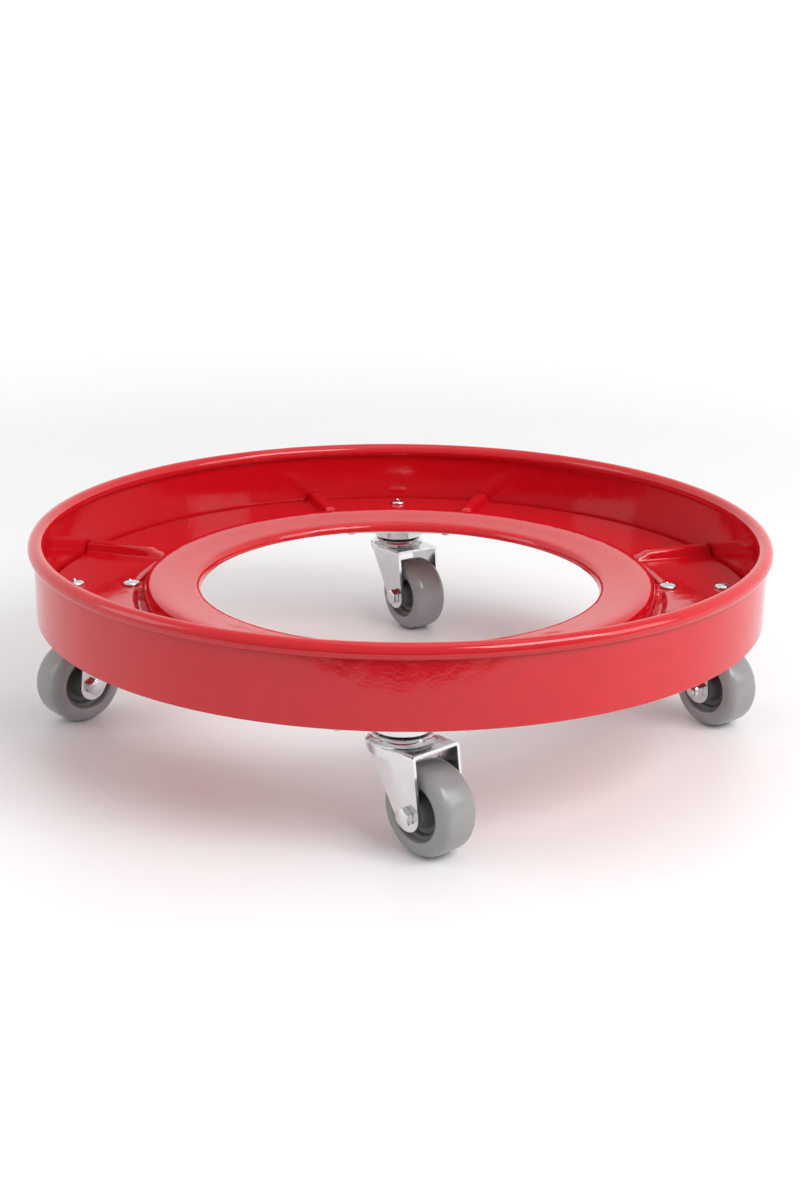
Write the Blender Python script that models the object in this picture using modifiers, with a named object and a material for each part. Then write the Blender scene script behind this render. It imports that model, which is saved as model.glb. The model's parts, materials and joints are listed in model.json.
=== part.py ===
"""Drum dolly: a pressed steel tray with a rolled rim, carried on four double-race swivel casters.

Metres, +Z up.  The origin is on the floor below the centre of the tray.  Heights are stacked
upwards from the wheels, and radii are worked inwards from the drum that the rim has to take.
"""
import math

import bmesh
import bpy
from mathutils import Matrix

# Clearances
GAP = 0.0003              # left between pieces that touch
BORE_GAP = 0.0003         # left round a pin or a screw in its hole

# Rim: a steel band rolled into a ring, its top edge curled round into a bead over the band
WELL_RADIUS = 0.2995      # inside of the bead: a 200-litre drum is at most 0.597 across its hoops
RIM_SHEET = 0.0020
RIM_HEIGHT = 0.0655
BEAD_RADIUS = 0.0065
BEAD_START = 270          # degrees: the curl leaves the band under the bead's middle,
BEAD_END = -55            # and comes round to end beside the band's outer face
BEAD_STEPS = (8, 5)       # steps round the outside and the inside of the curl
RIM_STEPS = 72

# Deck: a pressed plate welded inside the rim
DECK_SHEET = 0.0020
DECK_RISE = 0.0095        # top of the caster pads above the lower edge of the rim
HOLE_RADIUS = 0.171
HOLE_EDGE_RISE = 0.0005   # cut edge of the plate round the hole, above the pads
HOLE_LIP_RISE = 0.0085    # round inner edge of the raised ring, above the pads
HOLE_LIP_FACE = 0.0006    # how far the upright part of that edge leans back
HOLE_LIP_WIDTH = 0.0060
HOLE_LIP_SHARE = 0.6      # share of the lip's rise taken by its upright part
RING_RISE = 0.0128        # highest line of the raised ring, above the pads
RING_WIDTH = 0.0500       # from the hole to the foot of the ring
RING_SHOULDER = 0.0080    # from the highest line to the foot
RING_SKIRT = 0.0020       # last, steep part of that slope
RING_SKIRT_SHARE = 0.35
RING_FLARE = 0.0010       # foot's rounding out into the valley
VALLEY_DEPTH = 0.0060     # groove between the ring and the pads
VALLEY_WIDTH = 0.0065
EDGE_SHARE = 0.8          # share of the valley's depth left at the pad's edge, between the pads
INNER_SHARE = 0.6         # and at the end of the slope up from it
INNER_WIDTH = 0.0085      # that slope
LEDGE_WIDTH = 0.0140      # level strip by the rim, between the pads
EDGE_BEND = 0.0040
BEND_SHARE = (0.7, 0.3)   # middle of the bend: share of its width, and of its depth
FLANGE_DEPTH = 0.0090
RIB_ANGLES = (20.8, 16.3) # degrees from a pad's centre line to its ribs: side pads, front and back pads
RIB_TOP = 0.0094          # width of a rib's flat top at the caster circle
RIB_FLANK = 0.0031
RIB_RISE = 0.0085
BULGE_WIDTH = 0.0270      # the pad runs on to the ring here, round its inner screw
BULGE_EDGES = (0.97, 1.4) # stations beside the bulge, as shares of its half width
QUARTER = 90              # degrees from one pad to the next
PROFILE_MARK = 0.01       # height that tells one station of the profile from the next

# Casters
CASTER_CIRCLE = 0.256     # radius of the circle through the swivel axes
WHEEL_RADIUS = 0.035
WHEEL_WIDTH = 0.034
TRAIL = 0.030
FORK_SHEET = 0.0025
FORK_WIDTH = 0.046
FORK_SIDES = 16
FORK_CLEARANCE = 0.0095   # from the tyre up to the roof of the fork
SEAT_RISE = 0.0050        # ball seat above the roof of the fork
SEAT_RADIUS = 0.0228
SEAT_SLOPE = 0.0022       # spread of the dome under the ball seat
SKIRT_DEPTH = 0.0095      # round shoulders of the fork, below its roof
SWIVEL_GAP = 0.0010       # round the kingpin in the ball seat
LEG_FRONT = 0.0055        # front edge of the roof past the axle
LEG_END_RADIUS = 0.0120
LEG_END_ARC = (5, -147)   # degrees
LEG_END_STEPS = 6
LEG_BACK_SHARES = (0.4, 0.7)  # back edge of the legs at the skirt and at the roof, in seat radii
RACE_GAP = 0.0023         # dark gap between the ball seat and the race of the top plate
RACE_RADIUS = 0.0235
RACE_DEPTH = 0.0092       # lip of the upper race below the plate
RACE_WALL = 0.0025
RACE_TRACK = 0.0020       # margin of the pressed ball track past the balls
UPPER_BALL = 0.0052       # diameter
LOWER_BALL = 0.0044
UPPER_BALL_CIRCLE = 0.0165
LOWER_BALL_CIRCLE = 0.0110
UPPER_BALL_COUNT = 8
LOWER_BALL_COUNT = 6
BALL_GAP = 0.0004         # over and under each ball
CUP_SHEET = 0.0020
CUP_WALL_SHARE = 0.7      # wall of the lower race, as a share of a ball
KINGPIN_RADIUS = 0.0050
KINGPIN_HEAD_RADIUS = 0.0088
KINGPIN_HEAD = 0.0030
KINGPIN_CROWN_SHARE = 0.85
PEEN_CROWN_SHARE = 0.7
PEEN_SHARE = 0.8          # peened end, as a share of the head's thickness
PIN_SIDES = 12
BORE_SIDES = 10
AXLE_RADIUS = 0.0040
SLEEVE_WALL = 0.0030
TREAD_DEPTH = 0.0132      # of the polyurethane tyre, over the core
TYRE_STEPS = 24
TYRE_SHOULDER = 0.0085
TYRE_SHOULDER_SHARE = 0.36  # how far in the middle of the round shoulder is
TYRE_SIDE_SHARE = 0.1     # slope of the side in to the core, as a share of the shoulder
TYRE_CROWN = 0.0007
CROWN_FLAT = 1 / 6        # middle of the tread, as a share of half the width
CORE_RECESS = 0.0060      # core below the side of the tyre
CORE_LIP = 0.0025
HUB_LENGTH = 0.0385
HUB_WALL = 0.0040
HUB_CHAMFER = 0.3         # share of the hub's wall
HUB_FOOT = 1.2            # hub's wall where it meets the web, in wall thicknesses
WEB_SHARES = (0.62, 0.72) # half thickness of the web at the hub and at the rim, as shares of the rim's
CORE_STEPS = 14

# Mounting plates and fasteners
PLATE_SHEET = 0.0030
PLATE_LENGTH = 0.112      # along the rim
PLATE_DEPTH = 0.064       # towards the centre of the dolly
PLATE_CORNER = 0.008
PLATE_TO_RIM = 0.0040     # top of the plate below the lower edge of the rim
SADDLE_SHEET = 0.0020
SADDLE_WEB = 0.070
SADDLE_LEAN = 0.0025      # how far each side of the hat spreads on its way down
SADDLE_MARGIN = 0.0065    # web past the screws
SADDLE_RELIEF = 0.0015    # saddle clear of the step at the edge of the pad
SADDLE_TONGUE = 0.0180    # width of the web where it reaches the inner screw
RIVET_SPACING = (0.040, 0.094)
RIVET_RADIUS = 0.0030
RIVET_HEAD_RADIUS = 0.0059
RIVET_HEAD = 0.0048
RIVET_FLAT = 0.0018       # thickness of the flat head on the foot of the saddle
RIVET_FLAT_SHARE = 0.85   # its radius, as a share of the dome's
RIVET_BITE = RIVET_FLAT / 3  # how far it sinks into the foot
RIVET_CROWN_SHARE = 0.6
RIVET_SIDES = 7
RIVET_HOLE_SIDES = 8
SCREW_SPACING = 0.048
SCREW_RADIUS = 0.0030
SCREW_HEAD_RADIUS = 0.00775
SCREW_HEAD = 0.0034
SCREW_CROWN = (0.75, 0.8) # round edge of the head: share of its radius, and of its height
WELD_NUT = 0.0050
WELD_NUT_FLATS = 0.0100
CAGE_WIDTH = 0.0014       # wire ring that keeps the balls apart
AXLE_HEAD_FLATS = 0.0130
AXLE_HEAD = 0.0052
AXLE_NUT = 0.0075

# Heights, from the floor up
ROOF_BOTTOM = 2 * WHEEL_RADIUS + FORK_CLEARANCE
ROOF_TOP = ROOF_BOTTOM + FORK_SHEET
SEAT_TOP = ROOF_TOP + SEAT_RISE
PLATE_BOTTOM = SEAT_TOP + RACE_GAP + RACE_DEPTH
PLATE_TOP = PLATE_BOTTOM + PLATE_SHEET
RIM_BOTTOM = PLATE_TOP + PLATE_TO_RIM
RIM_TOP = RIM_BOTTOM + RIM_HEIGHT
PAD_TOP = RIM_BOTTOM + DECK_RISE
SADDLE_TOP = PAD_TOP - DECK_SHEET - GAP
SCREW_END = PLATE_TOP + 4 * GAP
TRACK_BOTTOM = SEAT_TOP + UPPER_BALL + 2 * BALL_GAP
CUP_BOTTOM = SEAT_TOP - FORK_SHEET - LOWER_BALL - 2 * BALL_GAP - CUP_SHEET

BAND_RADIUS = WELL_RADIUS + BEAD_RADIUS
DECK_RADIUS = BAND_RADIUS * math.cos(math.pi / RIM_STEPS) - GAP
RING_FOOT = HOLE_RADIUS + RING_WIDTH
PAD_EDGE = RING_FOOT + VALLEY_WIDTH
SLEEVE_RADIUS = AXLE_RADIUS + BORE_GAP + SLEEVE_WALL
CORE_RADIUS = WHEEL_RADIUS - TREAD_DEPTH - BORE_GAP
FORK_INSIDE = FORK_WIDTH / 2 - FORK_SHEET

# Each caster: name, place round the dolly, direction of its trail at rest, side of the bolt head
CASTERS = (
    ("front", -90, -48, -1),
    ("back", 90, -57, -1),
    ("left", 180, -137, 1),
    ("right", 0, -53, 1),
)


def clear_scene():
    for thing in list(bpy.data.objects):
        bpy.data.objects.remove(thing, do_unlink=True)


def new_collection(name):
    group = bpy.data.collections.new(name)
    bpy.context.scene.collection.children.link(group)
    return group


def new_material(name, colour, roughness, metallic):
    finish = bpy.data.materials.new(name)
    finish.use_nodes = True
    shader = finish.node_tree.nodes["Principled BSDF"]
    shader.inputs["Base Color"].default_value = (*colour, 1)
    shader.inputs["Roughness"].default_value = roughness
    shader.inputs["Metallic"].default_value = metallic
    return finish


def baked(thing):
    """Return the evaluated mesh of a working object, and remove the object."""
    depsgraph = bpy.context.evaluated_depsgraph_get()
    mesh = bpy.data.meshes.new_from_object(thing.evaluated_get(depsgraph))
    bpy.data.objects.remove(thing, do_unlink=True)
    return mesh


def working(mesh):
    thing = bpy.data.objects.new("working", mesh)
    bpy.context.scene.collection.objects.link(thing)
    return thing


def turned(profile, steps, closed=False):
    """Turn a profile of (radius, height) points about Z with a Screw modifier."""
    form = bmesh.new()
    points = [form.verts.new((radius, 0, height)) for radius, height in profile]
    for first, second in zip(points, points[1:]):
        form.edges.new((first, second))
    if closed:
        form.edges.new((points[-1], points[0]))
    mesh = bpy.data.meshes.new("profile")
    form.to_mesh(mesh)
    form.free()
    thing = working(mesh)
    screw = thing.modifiers.new("turn", "SCREW")
    screw.steps = steps
    screw.render_steps = steps
    screw.use_merge_vertices = True
    screw.merge_threshold = 0.00001
    mesh = baked(thing)
    form = bmesh.new()
    form.from_mesh(mesh)
    bmesh.ops.recalc_face_normals(form, faces=form.faces)
    form.to_mesh(mesh)
    form.free()
    return mesh


def plate(outline, low, high):
    """Extrude a flat outline of (x, y) points from one height to another."""
    form = bmesh.new()
    face = form.faces.new([form.verts.new((x, y, low)) for x, y in outline])
    top = bmesh.ops.extrude_face_region(form, geom=[face])
    raised = [item for item in top["geom"] if isinstance(item, bmesh.types.BMVert)]
    bmesh.ops.translate(form, verts=raised, vec=(0, 0, high - low))
    bmesh.ops.recalc_face_normals(form, faces=form.faces)
    mesh = bpy.data.meshes.new("plate")
    form.to_mesh(mesh)
    form.free()
    return mesh


def box(size, centre):
    form = bmesh.new()
    bmesh.ops.create_cube(form, size=1)
    bmesh.ops.scale(form, verts=form.verts, vec=size)
    bmesh.ops.translate(form, verts=form.verts, vec=centre)
    mesh = bpy.data.meshes.new("box")
    form.to_mesh(mesh)
    form.free()
    return mesh


def rod(radius, low, high, sides=12, end_radius=None):
    """An upright cylinder, or a cone when its upper radius is given."""
    form = bmesh.new()
    top_radius = radius if end_radius is None else end_radius
    bmesh.ops.create_cone(form, cap_ends=True, segments=sides, radius1=radius,
                          radius2=top_radius, depth=high - low)
    bmesh.ops.translate(form, verts=form.verts, vec=(0, 0, (low + high) / 2))
    mesh = bpy.data.meshes.new("rod")
    form.to_mesh(mesh)
    form.free()
    return mesh


def joined(mesh, places):
    """Repeat a mesh at each place, as separate bodies of one mesh."""
    form = bmesh.new()
    for place in places:
        copy = mesh.copy()
        copy.transform(place)
        form.from_mesh(copy)
        bpy.data.meshes.remove(copy)
    group = bpy.data.meshes.new("group")
    form.to_mesh(group)
    form.free()
    return group


def moved(mesh, x=0, y=0, z=0):
    mesh.transform(Matrix.Translation((x, y, z)))
    return mesh


def combined(mesh, others, operation):
    """Join meshes to a mesh, or cut them from it, one exact Boolean at a time."""
    thing = working(mesh)
    helpers = []
    for other in others:
        helper = working(other)
        step = thing.modifiers.new("combine", "BOOLEAN")
        step.operation = operation
        step.solver = "EXACT"
        step.object = helper
        helpers.append(helper)
    bpy.context.view_layer.update()
    mesh = baked(thing)
    for helper in helpers:
        bpy.data.objects.remove(helper, do_unlink=True)
    return mesh


def arc(centre, radius, start, end, count):
    """Points of an arc, with its angles in degrees."""
    turns = [math.radians(start + (end - start) * i / count) for i in range(count + 1)]
    return [(centre[0] + radius * math.cos(turn), centre[1] + radius * math.sin(turn)) for turn in turns]


def piece(name, mesh, finish, group, parent=None, place=None):
    mesh.materials.clear()
    mesh.materials.append(finish)
    mesh.shade_smooth()
    mesh.set_sharp_from_angle(angle=math.radians(35))
    thing = bpy.data.objects.new(name, mesh)
    group.objects.link(thing)
    if parent is not None:
        thing.parent = parent
    if place is not None:
        thing.matrix_local = place
    return thing


def empty(name, group, parent, place):
    guide = bpy.data.objects.new(name, None)
    guide.empty_display_size = 0.02
    group.objects.link(guide)
    guide.parent = parent
    guide.matrix_local = place
    return guide


# Rim and deck
def rim_mesh():
    """The band's section: up its inside, round the bead, back inside the bead and down its outside."""
    centre = (BAND_RADIUS, RIM_TOP - BEAD_RADIUS)
    hollow = BEAD_RADIUS - RIM_SHEET
    root = 360 - math.degrees(math.acos(RIM_SHEET / hollow))
    outer = arc(centre, BEAD_RADIUS, BEAD_START, BEAD_END, BEAD_STEPS[0])
    inner = arc(centre, hollow, BEAD_END, root, BEAD_STEPS[1])
    section = [(BAND_RADIUS, RIM_BOTTOM)] + outer + inner + [(BAND_RADIUS + RIM_SHEET, RIM_BOTTOM)]
    return turned(section, RIM_STEPS, closed=True)


def rib_angles():
    """Half widths of a rib in degrees: of its flat top, and of its foot."""
    top = math.degrees(RIB_TOP / 2 / CASTER_CIRCLE)
    return top, top + math.degrees(RIB_FLANK / CASTER_CIRCLE)


def bulge_angle():
    return math.degrees(BULGE_WIDTH / 2 / CASTER_CIRCLE)


def pressed(kind, angle, rib):
    """Height that pads, ribs and the valley add, at an angle in degrees from a pad's centre line."""
    angle = abs(angle)
    top, reach = rib_angles()
    rise = RIB_RISE * min(1, max(0, (reach - abs(angle - rib)) / (reach - top)))
    pad = angle < rib
    if kind in ("ring", "flange"):
        return 0
    if kind == "valley":
        return 0 if angle < bulge_angle() else -VALLEY_DEPTH
    if kind == "edge":
        return 0 if pad else -VALLEY_DEPTH * EDGE_SHARE
    if kind == "inner":
        return max(rise, 0 if pad else -VALLEY_DEPTH * INNER_SHARE)
    return rise


def deck_profile():
    """Stations of the deck from the hole outwards: radius, height over the pads, kind."""
    foot = RING_FOOT
    bend = DECK_RADIUS - EDGE_BEND
    ledge = bend - LEDGE_WIDTH
    return [
        (HOLE_RADIUS, HOLE_EDGE_RISE, "ring"),
        (HOLE_RADIUS + HOLE_LIP_FACE, HOLE_LIP_RISE * HOLE_LIP_SHARE, "ring"),
        (HOLE_RADIUS + HOLE_LIP_WIDTH, HOLE_LIP_RISE, "ring"),
        (foot - RING_SHOULDER, RING_RISE, "ring"),
        (foot - RING_SKIRT, RING_RISE * RING_SKIRT_SHARE, "ring"),
        (foot + RING_FLARE, 0, "valley"),
        (foot + VALLEY_WIDTH / 2, 0, "valley"),
        (PAD_EDGE, 0, "edge"),
        (PAD_EDGE + INNER_WIDTH, 0, "inner"),
        (ledge, 0, "pad"),
        (bend, 0, "pad"),
        (bend + EDGE_BEND * BEND_SHARE[0], -EDGE_BEND * BEND_SHARE[1], "pad"),
        (DECK_RADIUS, -EDGE_BEND, "pad"),
        (DECK_RADIUS, -FLANGE_DEPTH, "flange"),
    ]


def deck_angles(rib):
    """Stations round one quarter: close together at the ribs and at the bulge, even elsewhere."""
    top, reach = rib_angles()
    bulge = bulge_angle()
    near = rib - reach
    far = rib + reach
    middle = QUARTER / 2
    half = [bulge * share for share in BULGE_EDGES]
    half += [(bulge + near) / 2, near, rib - top, rib + top, far, (far + middle) / 2]
    return [-angle for angle in reversed(half)] + [0] + half + [middle]


def deck_mesh():
    """Spin the profile round, slide its spokes to their stations and press the ribs."""
    profile = deck_profile()
    stations = [(quarter, angle) for quarter in range(4) for angle in deck_angles(RIB_ANGLES[quarter % 2])]
    form = bmesh.new()
    points = [form.verts.new((row[0], 0, PROFILE_MARK * index)) for index, row in enumerate(profile)]
    edges = [form.edges.new(pair) for pair in zip(points, points[1:])]
    bmesh.ops.spin(form, geom=points + edges, cent=(0, 0, 0), axis=(0, 0, 1), angle=math.tau,
                   steps=len(stations), use_merge=True)
    for vert in form.verts:
        radius, height, kind = profile[round(vert.co.z / PROFILE_MARK)]
        spoke = math.atan2(vert.co.y, vert.co.x) / math.tau * len(stations)
        quarter, angle = stations[round(spoke) % len(stations)]
        turn = math.radians(quarter * QUARTER + angle)
        height += pressed(kind, angle, RIB_ANGLES[quarter % 2])
        vert.co = (radius * math.cos(turn), radius * math.sin(turn), PAD_TOP + height)
    bmesh.ops.recalc_face_normals(form, faces=form.faces)
    form.faces.ensure_lookup_table()
    ring_top = max(form.faces, key=lambda face: face.calc_center_median().z)
    if ring_top.normal.z < 0:
        bmesh.ops.reverse_faces(form, faces=form.faces)
    mesh = bpy.data.meshes.new("deck")
    form.to_mesh(mesh)
    form.free()
    return mesh


def screw_places():
    """The two screws of each pad, on its centre line."""
    places = []
    for name, bearing, trail, side in CASTERS:
        for offset in (-SCREW_SPACING / 2, SCREW_SPACING / 2):
            turn = Matrix.Rotation(math.radians(bearing), 4, "Z")
            places.append(turn @ Matrix.Translation((CASTER_CIRCLE + offset, 0, 0)))
    return places


def rivet_spots():
    depth, length = RIVET_SPACING
    return [(x * depth / 2, y * length / 2) for x in (-1, 1) for y in (-1, 1)]


# Plates and fasteners, each about its own Z axis
def saddle_mesh():
    """Hat section over the plate: riveted feet, and a web with weld nuts up against the pad."""
    foot = PLATE_TOP + GAP + SADDLE_SHEET
    half_web = SADDLE_WEB / 2
    inner = PAD_EDGE + DECK_SHEET + SADDLE_RELIEF - CASTER_CIRCLE
    edge = SCREW_SPACING / 2 + SADDLE_MARGIN
    half = [(half_web, SADDLE_TOP), (half_web + SADDLE_LEAN, foot), (PLATE_LENGTH / 2, foot)]
    section = [(-y, z) for y, z in reversed(half)] + half
    form = bmesh.new()
    points = [form.verts.new((-edge, y, z)) for y, z in section]
    edges = [form.edges.new(pair) for pair in zip(points, points[1:])]
    swept = bmesh.ops.extrude_edge_only(form, edges=edges)
    far = [item for item in swept["geom"] if isinstance(item, bmesh.types.BMVert)]
    bmesh.ops.translate(form, verts=far, vec=(2 * edge, 0, 0))
    if form.faces[:][0].normal.z < 0:
        bmesh.ops.reverse_faces(form, faces=form.faces)
    mesh = bpy.data.meshes.new("saddle")
    form.to_mesh(mesh)
    form.free()
    thing = working(mesh)
    wall = thing.modifiers.new("wall", "SOLIDIFY")
    wall.thickness = SADDLE_SHEET
    wall.offset = -1
    wall.use_even_offset = True
    mesh = baked(thing)
    web = SADDLE_TOP - SADDLE_SHEET
    additions = []
    for x in (-SCREW_SPACING / 2, SCREW_SPACING / 2):
        nut = rod(WELD_NUT_FLATS / math.sqrt(3), web - WELD_NUT, web + SADDLE_SHEET / 2, 6)
        additions.append(moved(nut, x))
    for x, y in rivet_spots():
        additions.append(moved(rivet_mesh(), x, y))
    low = PLATE_TOP - SADDLE_SHEET
    high = SADDLE_TOP + SADDLE_SHEET
    corner = edge + inner
    cutters = []
    for side in (-1, 1):
        size = (2 * corner, PLATE_LENGTH, high - low)
        centre = (-edge, side * (SADDLE_TONGUE + PLATE_LENGTH) / 2, (high + low) / 2)
        cutters.append(box(size, centre))
    mesh = combined(mesh, cutters, "DIFFERENCE")
    mesh = combined(mesh, additions, "UNION")
    drills = [moved(rod(SCREW_RADIUS + BORE_GAP, low, high, BORE_SIDES), x)
              for x in (-SCREW_SPACING / 2, SCREW_SPACING / 2)]
    return combined(mesh, drills, "DIFFERENCE")


def top_plate_mesh():
    """The caster's plate, with the upper race pressed down out of it, and its holes."""
    x = PLATE_DEPTH / 2 - PLATE_CORNER
    y = PLATE_LENGTH / 2 - PLATE_CORNER
    outline = []
    for corner, start in (((x, y), 0), ((-x, y), 90), ((-x, -y), 180), ((x, -y), 270)):
        outline += arc(corner, PLATE_CORNER, start, start + 90, 2)
    mesh = plate(outline, PLATE_BOTTOM, PLATE_TOP)
    low = PLATE_BOTTOM - RACE_DEPTH
    high = PLATE_BOTTOM + PLATE_SHEET / 3
    inside = RACE_RADIUS - RACE_WALL
    track = UPPER_BALL_CIRCLE - UPPER_BALL / 2 - RACE_TRACK
    section = [(track, TRACK_BOTTOM), (track, high), (RACE_RADIUS, high), (RACE_RADIUS, low), (inside, low),
               (inside, TRACK_BOTTOM)]
    mesh = combined(mesh, [turned(section, FORK_SIDES, closed=True)], "UNION")
    low = PLATE_BOTTOM - PLATE_SHEET
    high = PLATE_TOP + PLATE_SHEET
    cutters = [rod(KINGPIN_RADIUS + BORE_GAP, low, high, PIN_SIDES)]
    for x, y in rivet_spots():
        cutters.append(moved(rod(RIVET_RADIUS + BORE_GAP, low, high, RIVET_HOLE_SIDES), x, y))
    return combined(mesh, cutters, "DIFFERENCE")


def fork_mesh():
    """A pressed yoke: round shoulders and a raised ball seat, with two legs down to the axle."""
    half = FORK_WIDTH / 2
    base = SEAT_RADIUS + SEAT_SLOPE
    skirt = ROOF_TOP - SKIRT_DEPTH
    legs = [(TRAIL + LEG_FRONT, ROOF_TOP)]
    legs += arc((TRAIL, WHEEL_RADIUS), LEG_END_RADIUS, *LEG_END_ARC, LEG_END_STEPS)
    legs += [(-SEAT_RADIUS * LEG_BACK_SHARES[0], skirt), (-SEAT_RADIUS * LEG_BACK_SHARES[1], ROOF_TOP)]
    upright = Matrix.Rotation(math.radians(90), 4, "X")
    solid = plate(legs, -half, half)
    solid.transform(upright)
    dome = rod(base, ROOF_TOP - FORK_SHEET / 2, SEAT_TOP, FORK_SIDES, SEAT_RADIUS)
    shoulders = rod(base + GAP, skirt, ROOF_TOP, FORK_SIDES)
    solid = combined(solid, [shoulders, dome], "UNION")
    inside = half - FORK_SHEET
    reach = TRAIL + 2 * LEG_FRONT + LEG_END_RADIUS
    back = -SEAT_RADIUS / 2
    channel = box((reach - back, 2 * inside, ROOF_BOTTOM), ((reach + back) / 2, 0, ROOF_BOTTOM / 2))
    hollow = rod(base - FORK_SHEET, skirt - FORK_SHEET, ROOF_BOTTOM, FORK_SIDES)
    seat = rod(base - FORK_SHEET, ROOF_BOTTOM - FORK_SHEET, SEAT_TOP - FORK_SHEET, FORK_SIDES,
               SEAT_RADIUS - FORK_SHEET)
    bore = rod(KINGPIN_RADIUS + SWIVEL_GAP, ROOF_BOTTOM, SEAT_TOP + FORK_SHEET, BORE_SIDES)
    axle = rod(AXLE_RADIUS + BORE_GAP, -FORK_WIDTH, FORK_WIDTH, BORE_SIDES)
    axle.transform(upright)
    moved(axle, TRAIL, 0, WHEEL_RADIUS)
    return combined(solid, [channel, hollow, seat, bore, axle], "DIFFERENCE")


def kingpin_mesh():
    """Rivet through the plate, the fork and the lower race: its peened end holds them together."""
    low = CUP_BOTTOM - GAP
    high = PLATE_TOP + GAP
    end = low - KINGPIN_HEAD * PEEN_SHARE
    section = [(0, high + KINGPIN_HEAD), (KINGPIN_HEAD_RADIUS * KINGPIN_CROWN_SHARE, high + KINGPIN_HEAD),
               (KINGPIN_HEAD_RADIUS, high), (KINGPIN_RADIUS, high), (KINGPIN_RADIUS, low),
               (KINGPIN_HEAD_RADIUS, low), (KINGPIN_HEAD_RADIUS * PEEN_CROWN_SHARE, end), (0, end)]
    return turned(section, BORE_SIDES)


def cup_mesh():
    """Lower race: a shallow cup that carries the lower balls under the ball seat."""
    bore = KINGPIN_RADIUS + BORE_GAP
    wall = LOWER_BALL_CIRCLE + LOWER_BALL / 2 + 3 * BALL_GAP
    high = CUP_BOTTOM + CUP_SHEET + LOWER_BALL * CUP_WALL_SHARE
    section = [(bore, CUP_BOTTOM + CUP_SHEET), (wall, CUP_BOTTOM + CUP_SHEET), (wall, high),
               (wall + CUP_SHEET, high), (wall + CUP_SHEET, CUP_BOTTOM + CUP_SHEET / 2),
               (wall + CUP_SHEET / 2, CUP_BOTTOM), (bore, CUP_BOTTOM)]
    return turned(section, PIN_SIDES, closed=True)


def balls_mesh(diameter, circle, height, count):
    """A ring of balls in a flat wire cage that keeps them apart."""
    half = CAGE_WIDTH / 2
    cage = ring_mesh(circle - half, circle + half, height - half, height + half, count)
    balls = []
    for i in range(count):
        form = bmesh.new()
        bmesh.ops.create_icosphere(form, subdivisions=1, radius=diameter / 2)
        ball = bpy.data.meshes.new("ball")
        form.to_mesh(ball)
        form.free()
        ball.transform(Matrix.Rotation(math.tau * i / count, 4, "Z") @ Matrix.Translation((circle, 0, height)))
        balls.append(ball)
    return combined(cage, balls, "UNION")


def ring_mesh(inside, outside, low, high, steps=BORE_SIDES):
    return turned([(inside, low), (inside, high), (outside, high), (outside, low)], steps, closed=True)


def hex_mesh(flats, low, high, bore=None):
    mesh = rod(flats / math.sqrt(3), low, high, 6)
    if bore is None:
        return mesh
    return combined(mesh, [rod(bore, low - flats, high + flats, BORE_SIDES)], "DIFFERENCE")


def screw_mesh():
    """Pan-head screw, its head on the pad."""
    seat = PAD_TOP + GAP
    edge = (SCREW_HEAD_RADIUS * SCREW_CROWN[0], seat + SCREW_HEAD * SCREW_CROWN[1])
    section = [(0, seat + SCREW_HEAD), edge, (SCREW_HEAD_RADIUS, seat), (SCREW_RADIUS, seat),
               (SCREW_RADIUS, SCREW_END), (0, SCREW_END)]
    return turned(section, PIN_SIDES)


def rivet_mesh():
    """Rivet through the plate, one with the foot of the saddle, its dome under the plate."""
    foot = PLATE_TOP + GAP + SADDLE_SHEET
    low = PLATE_BOTTOM - GAP
    flat = RIVET_HEAD_RADIUS * RIVET_FLAT_SHARE
    section = [(0, foot + RIVET_FLAT), (flat, foot + RIVET_FLAT), (flat, foot - RIVET_BITE),
               (RIVET_RADIUS, foot - RIVET_BITE), (RIVET_RADIUS, low), (RIVET_HEAD_RADIUS, low),
               (RIVET_HEAD_RADIUS * RIVET_CROWN_SHARE, low - RIVET_HEAD), (0, low - RIVET_HEAD)]
    return turned(section, RIVET_SIDES)


# Wheel and axle, along the Z axis of the axle's own frame
def axle_bolt_mesh():
    head = FORK_WIDTH / 2 + GAP
    end = -head - AXLE_NUT - AXLE_RADIUS / 2
    shank = rod(AXLE_RADIUS, end, head + AXLE_HEAD / 2, PIN_SIDES)
    return combined(hex_mesh(AXLE_HEAD_FLATS, head, head + AXLE_HEAD), [shank], "UNION")


def core_mesh():
    """Wheel core: hub, dished web and a rim under the tyre."""
    bore = SLEEVE_RADIUS + BORE_GAP
    rim = WHEEL_WIDTH / 2 - CORE_RECESS
    chamfer = HUB_WALL * HUB_CHAMFER
    half = [(bore, HUB_LENGTH / 2), (bore + HUB_WALL - chamfer, HUB_LENGTH / 2),
            (bore + HUB_WALL, HUB_LENGTH / 2 - chamfer), (bore + HUB_WALL * HUB_FOOT, rim * WEB_SHARES[0]),
            (CORE_RADIUS - CORE_LIP, rim * WEB_SHARES[1]), (CORE_RADIUS, rim)]
    section = half + [(radius, -height) for radius, height in reversed(half)]
    return turned(section, CORE_STEPS, closed=True)


def tyre_mesh():
    """Tyre: flat sides, round shoulders and a slightly crowned tread."""
    inside = CORE_RADIUS + BORE_GAP
    side = WHEEL_WIDTH / 2
    round_off = TYRE_SHOULDER * TYRE_SHOULDER_SHARE
    half = [(inside, side - TYRE_SHOULDER * TYRE_SIDE_SHARE), (WHEEL_RADIUS - TYRE_SHOULDER, side),
            (WHEEL_RADIUS - round_off, side - round_off), (WHEEL_RADIUS - TYRE_CROWN, side - TYRE_SHOULDER),
            (WHEEL_RADIUS, side * CROWN_FLAT)]
    section = half + [(radius, -height) for radius, height in reversed(half)]
    return turned(section, TYRE_STEPS, closed=True)


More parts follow.
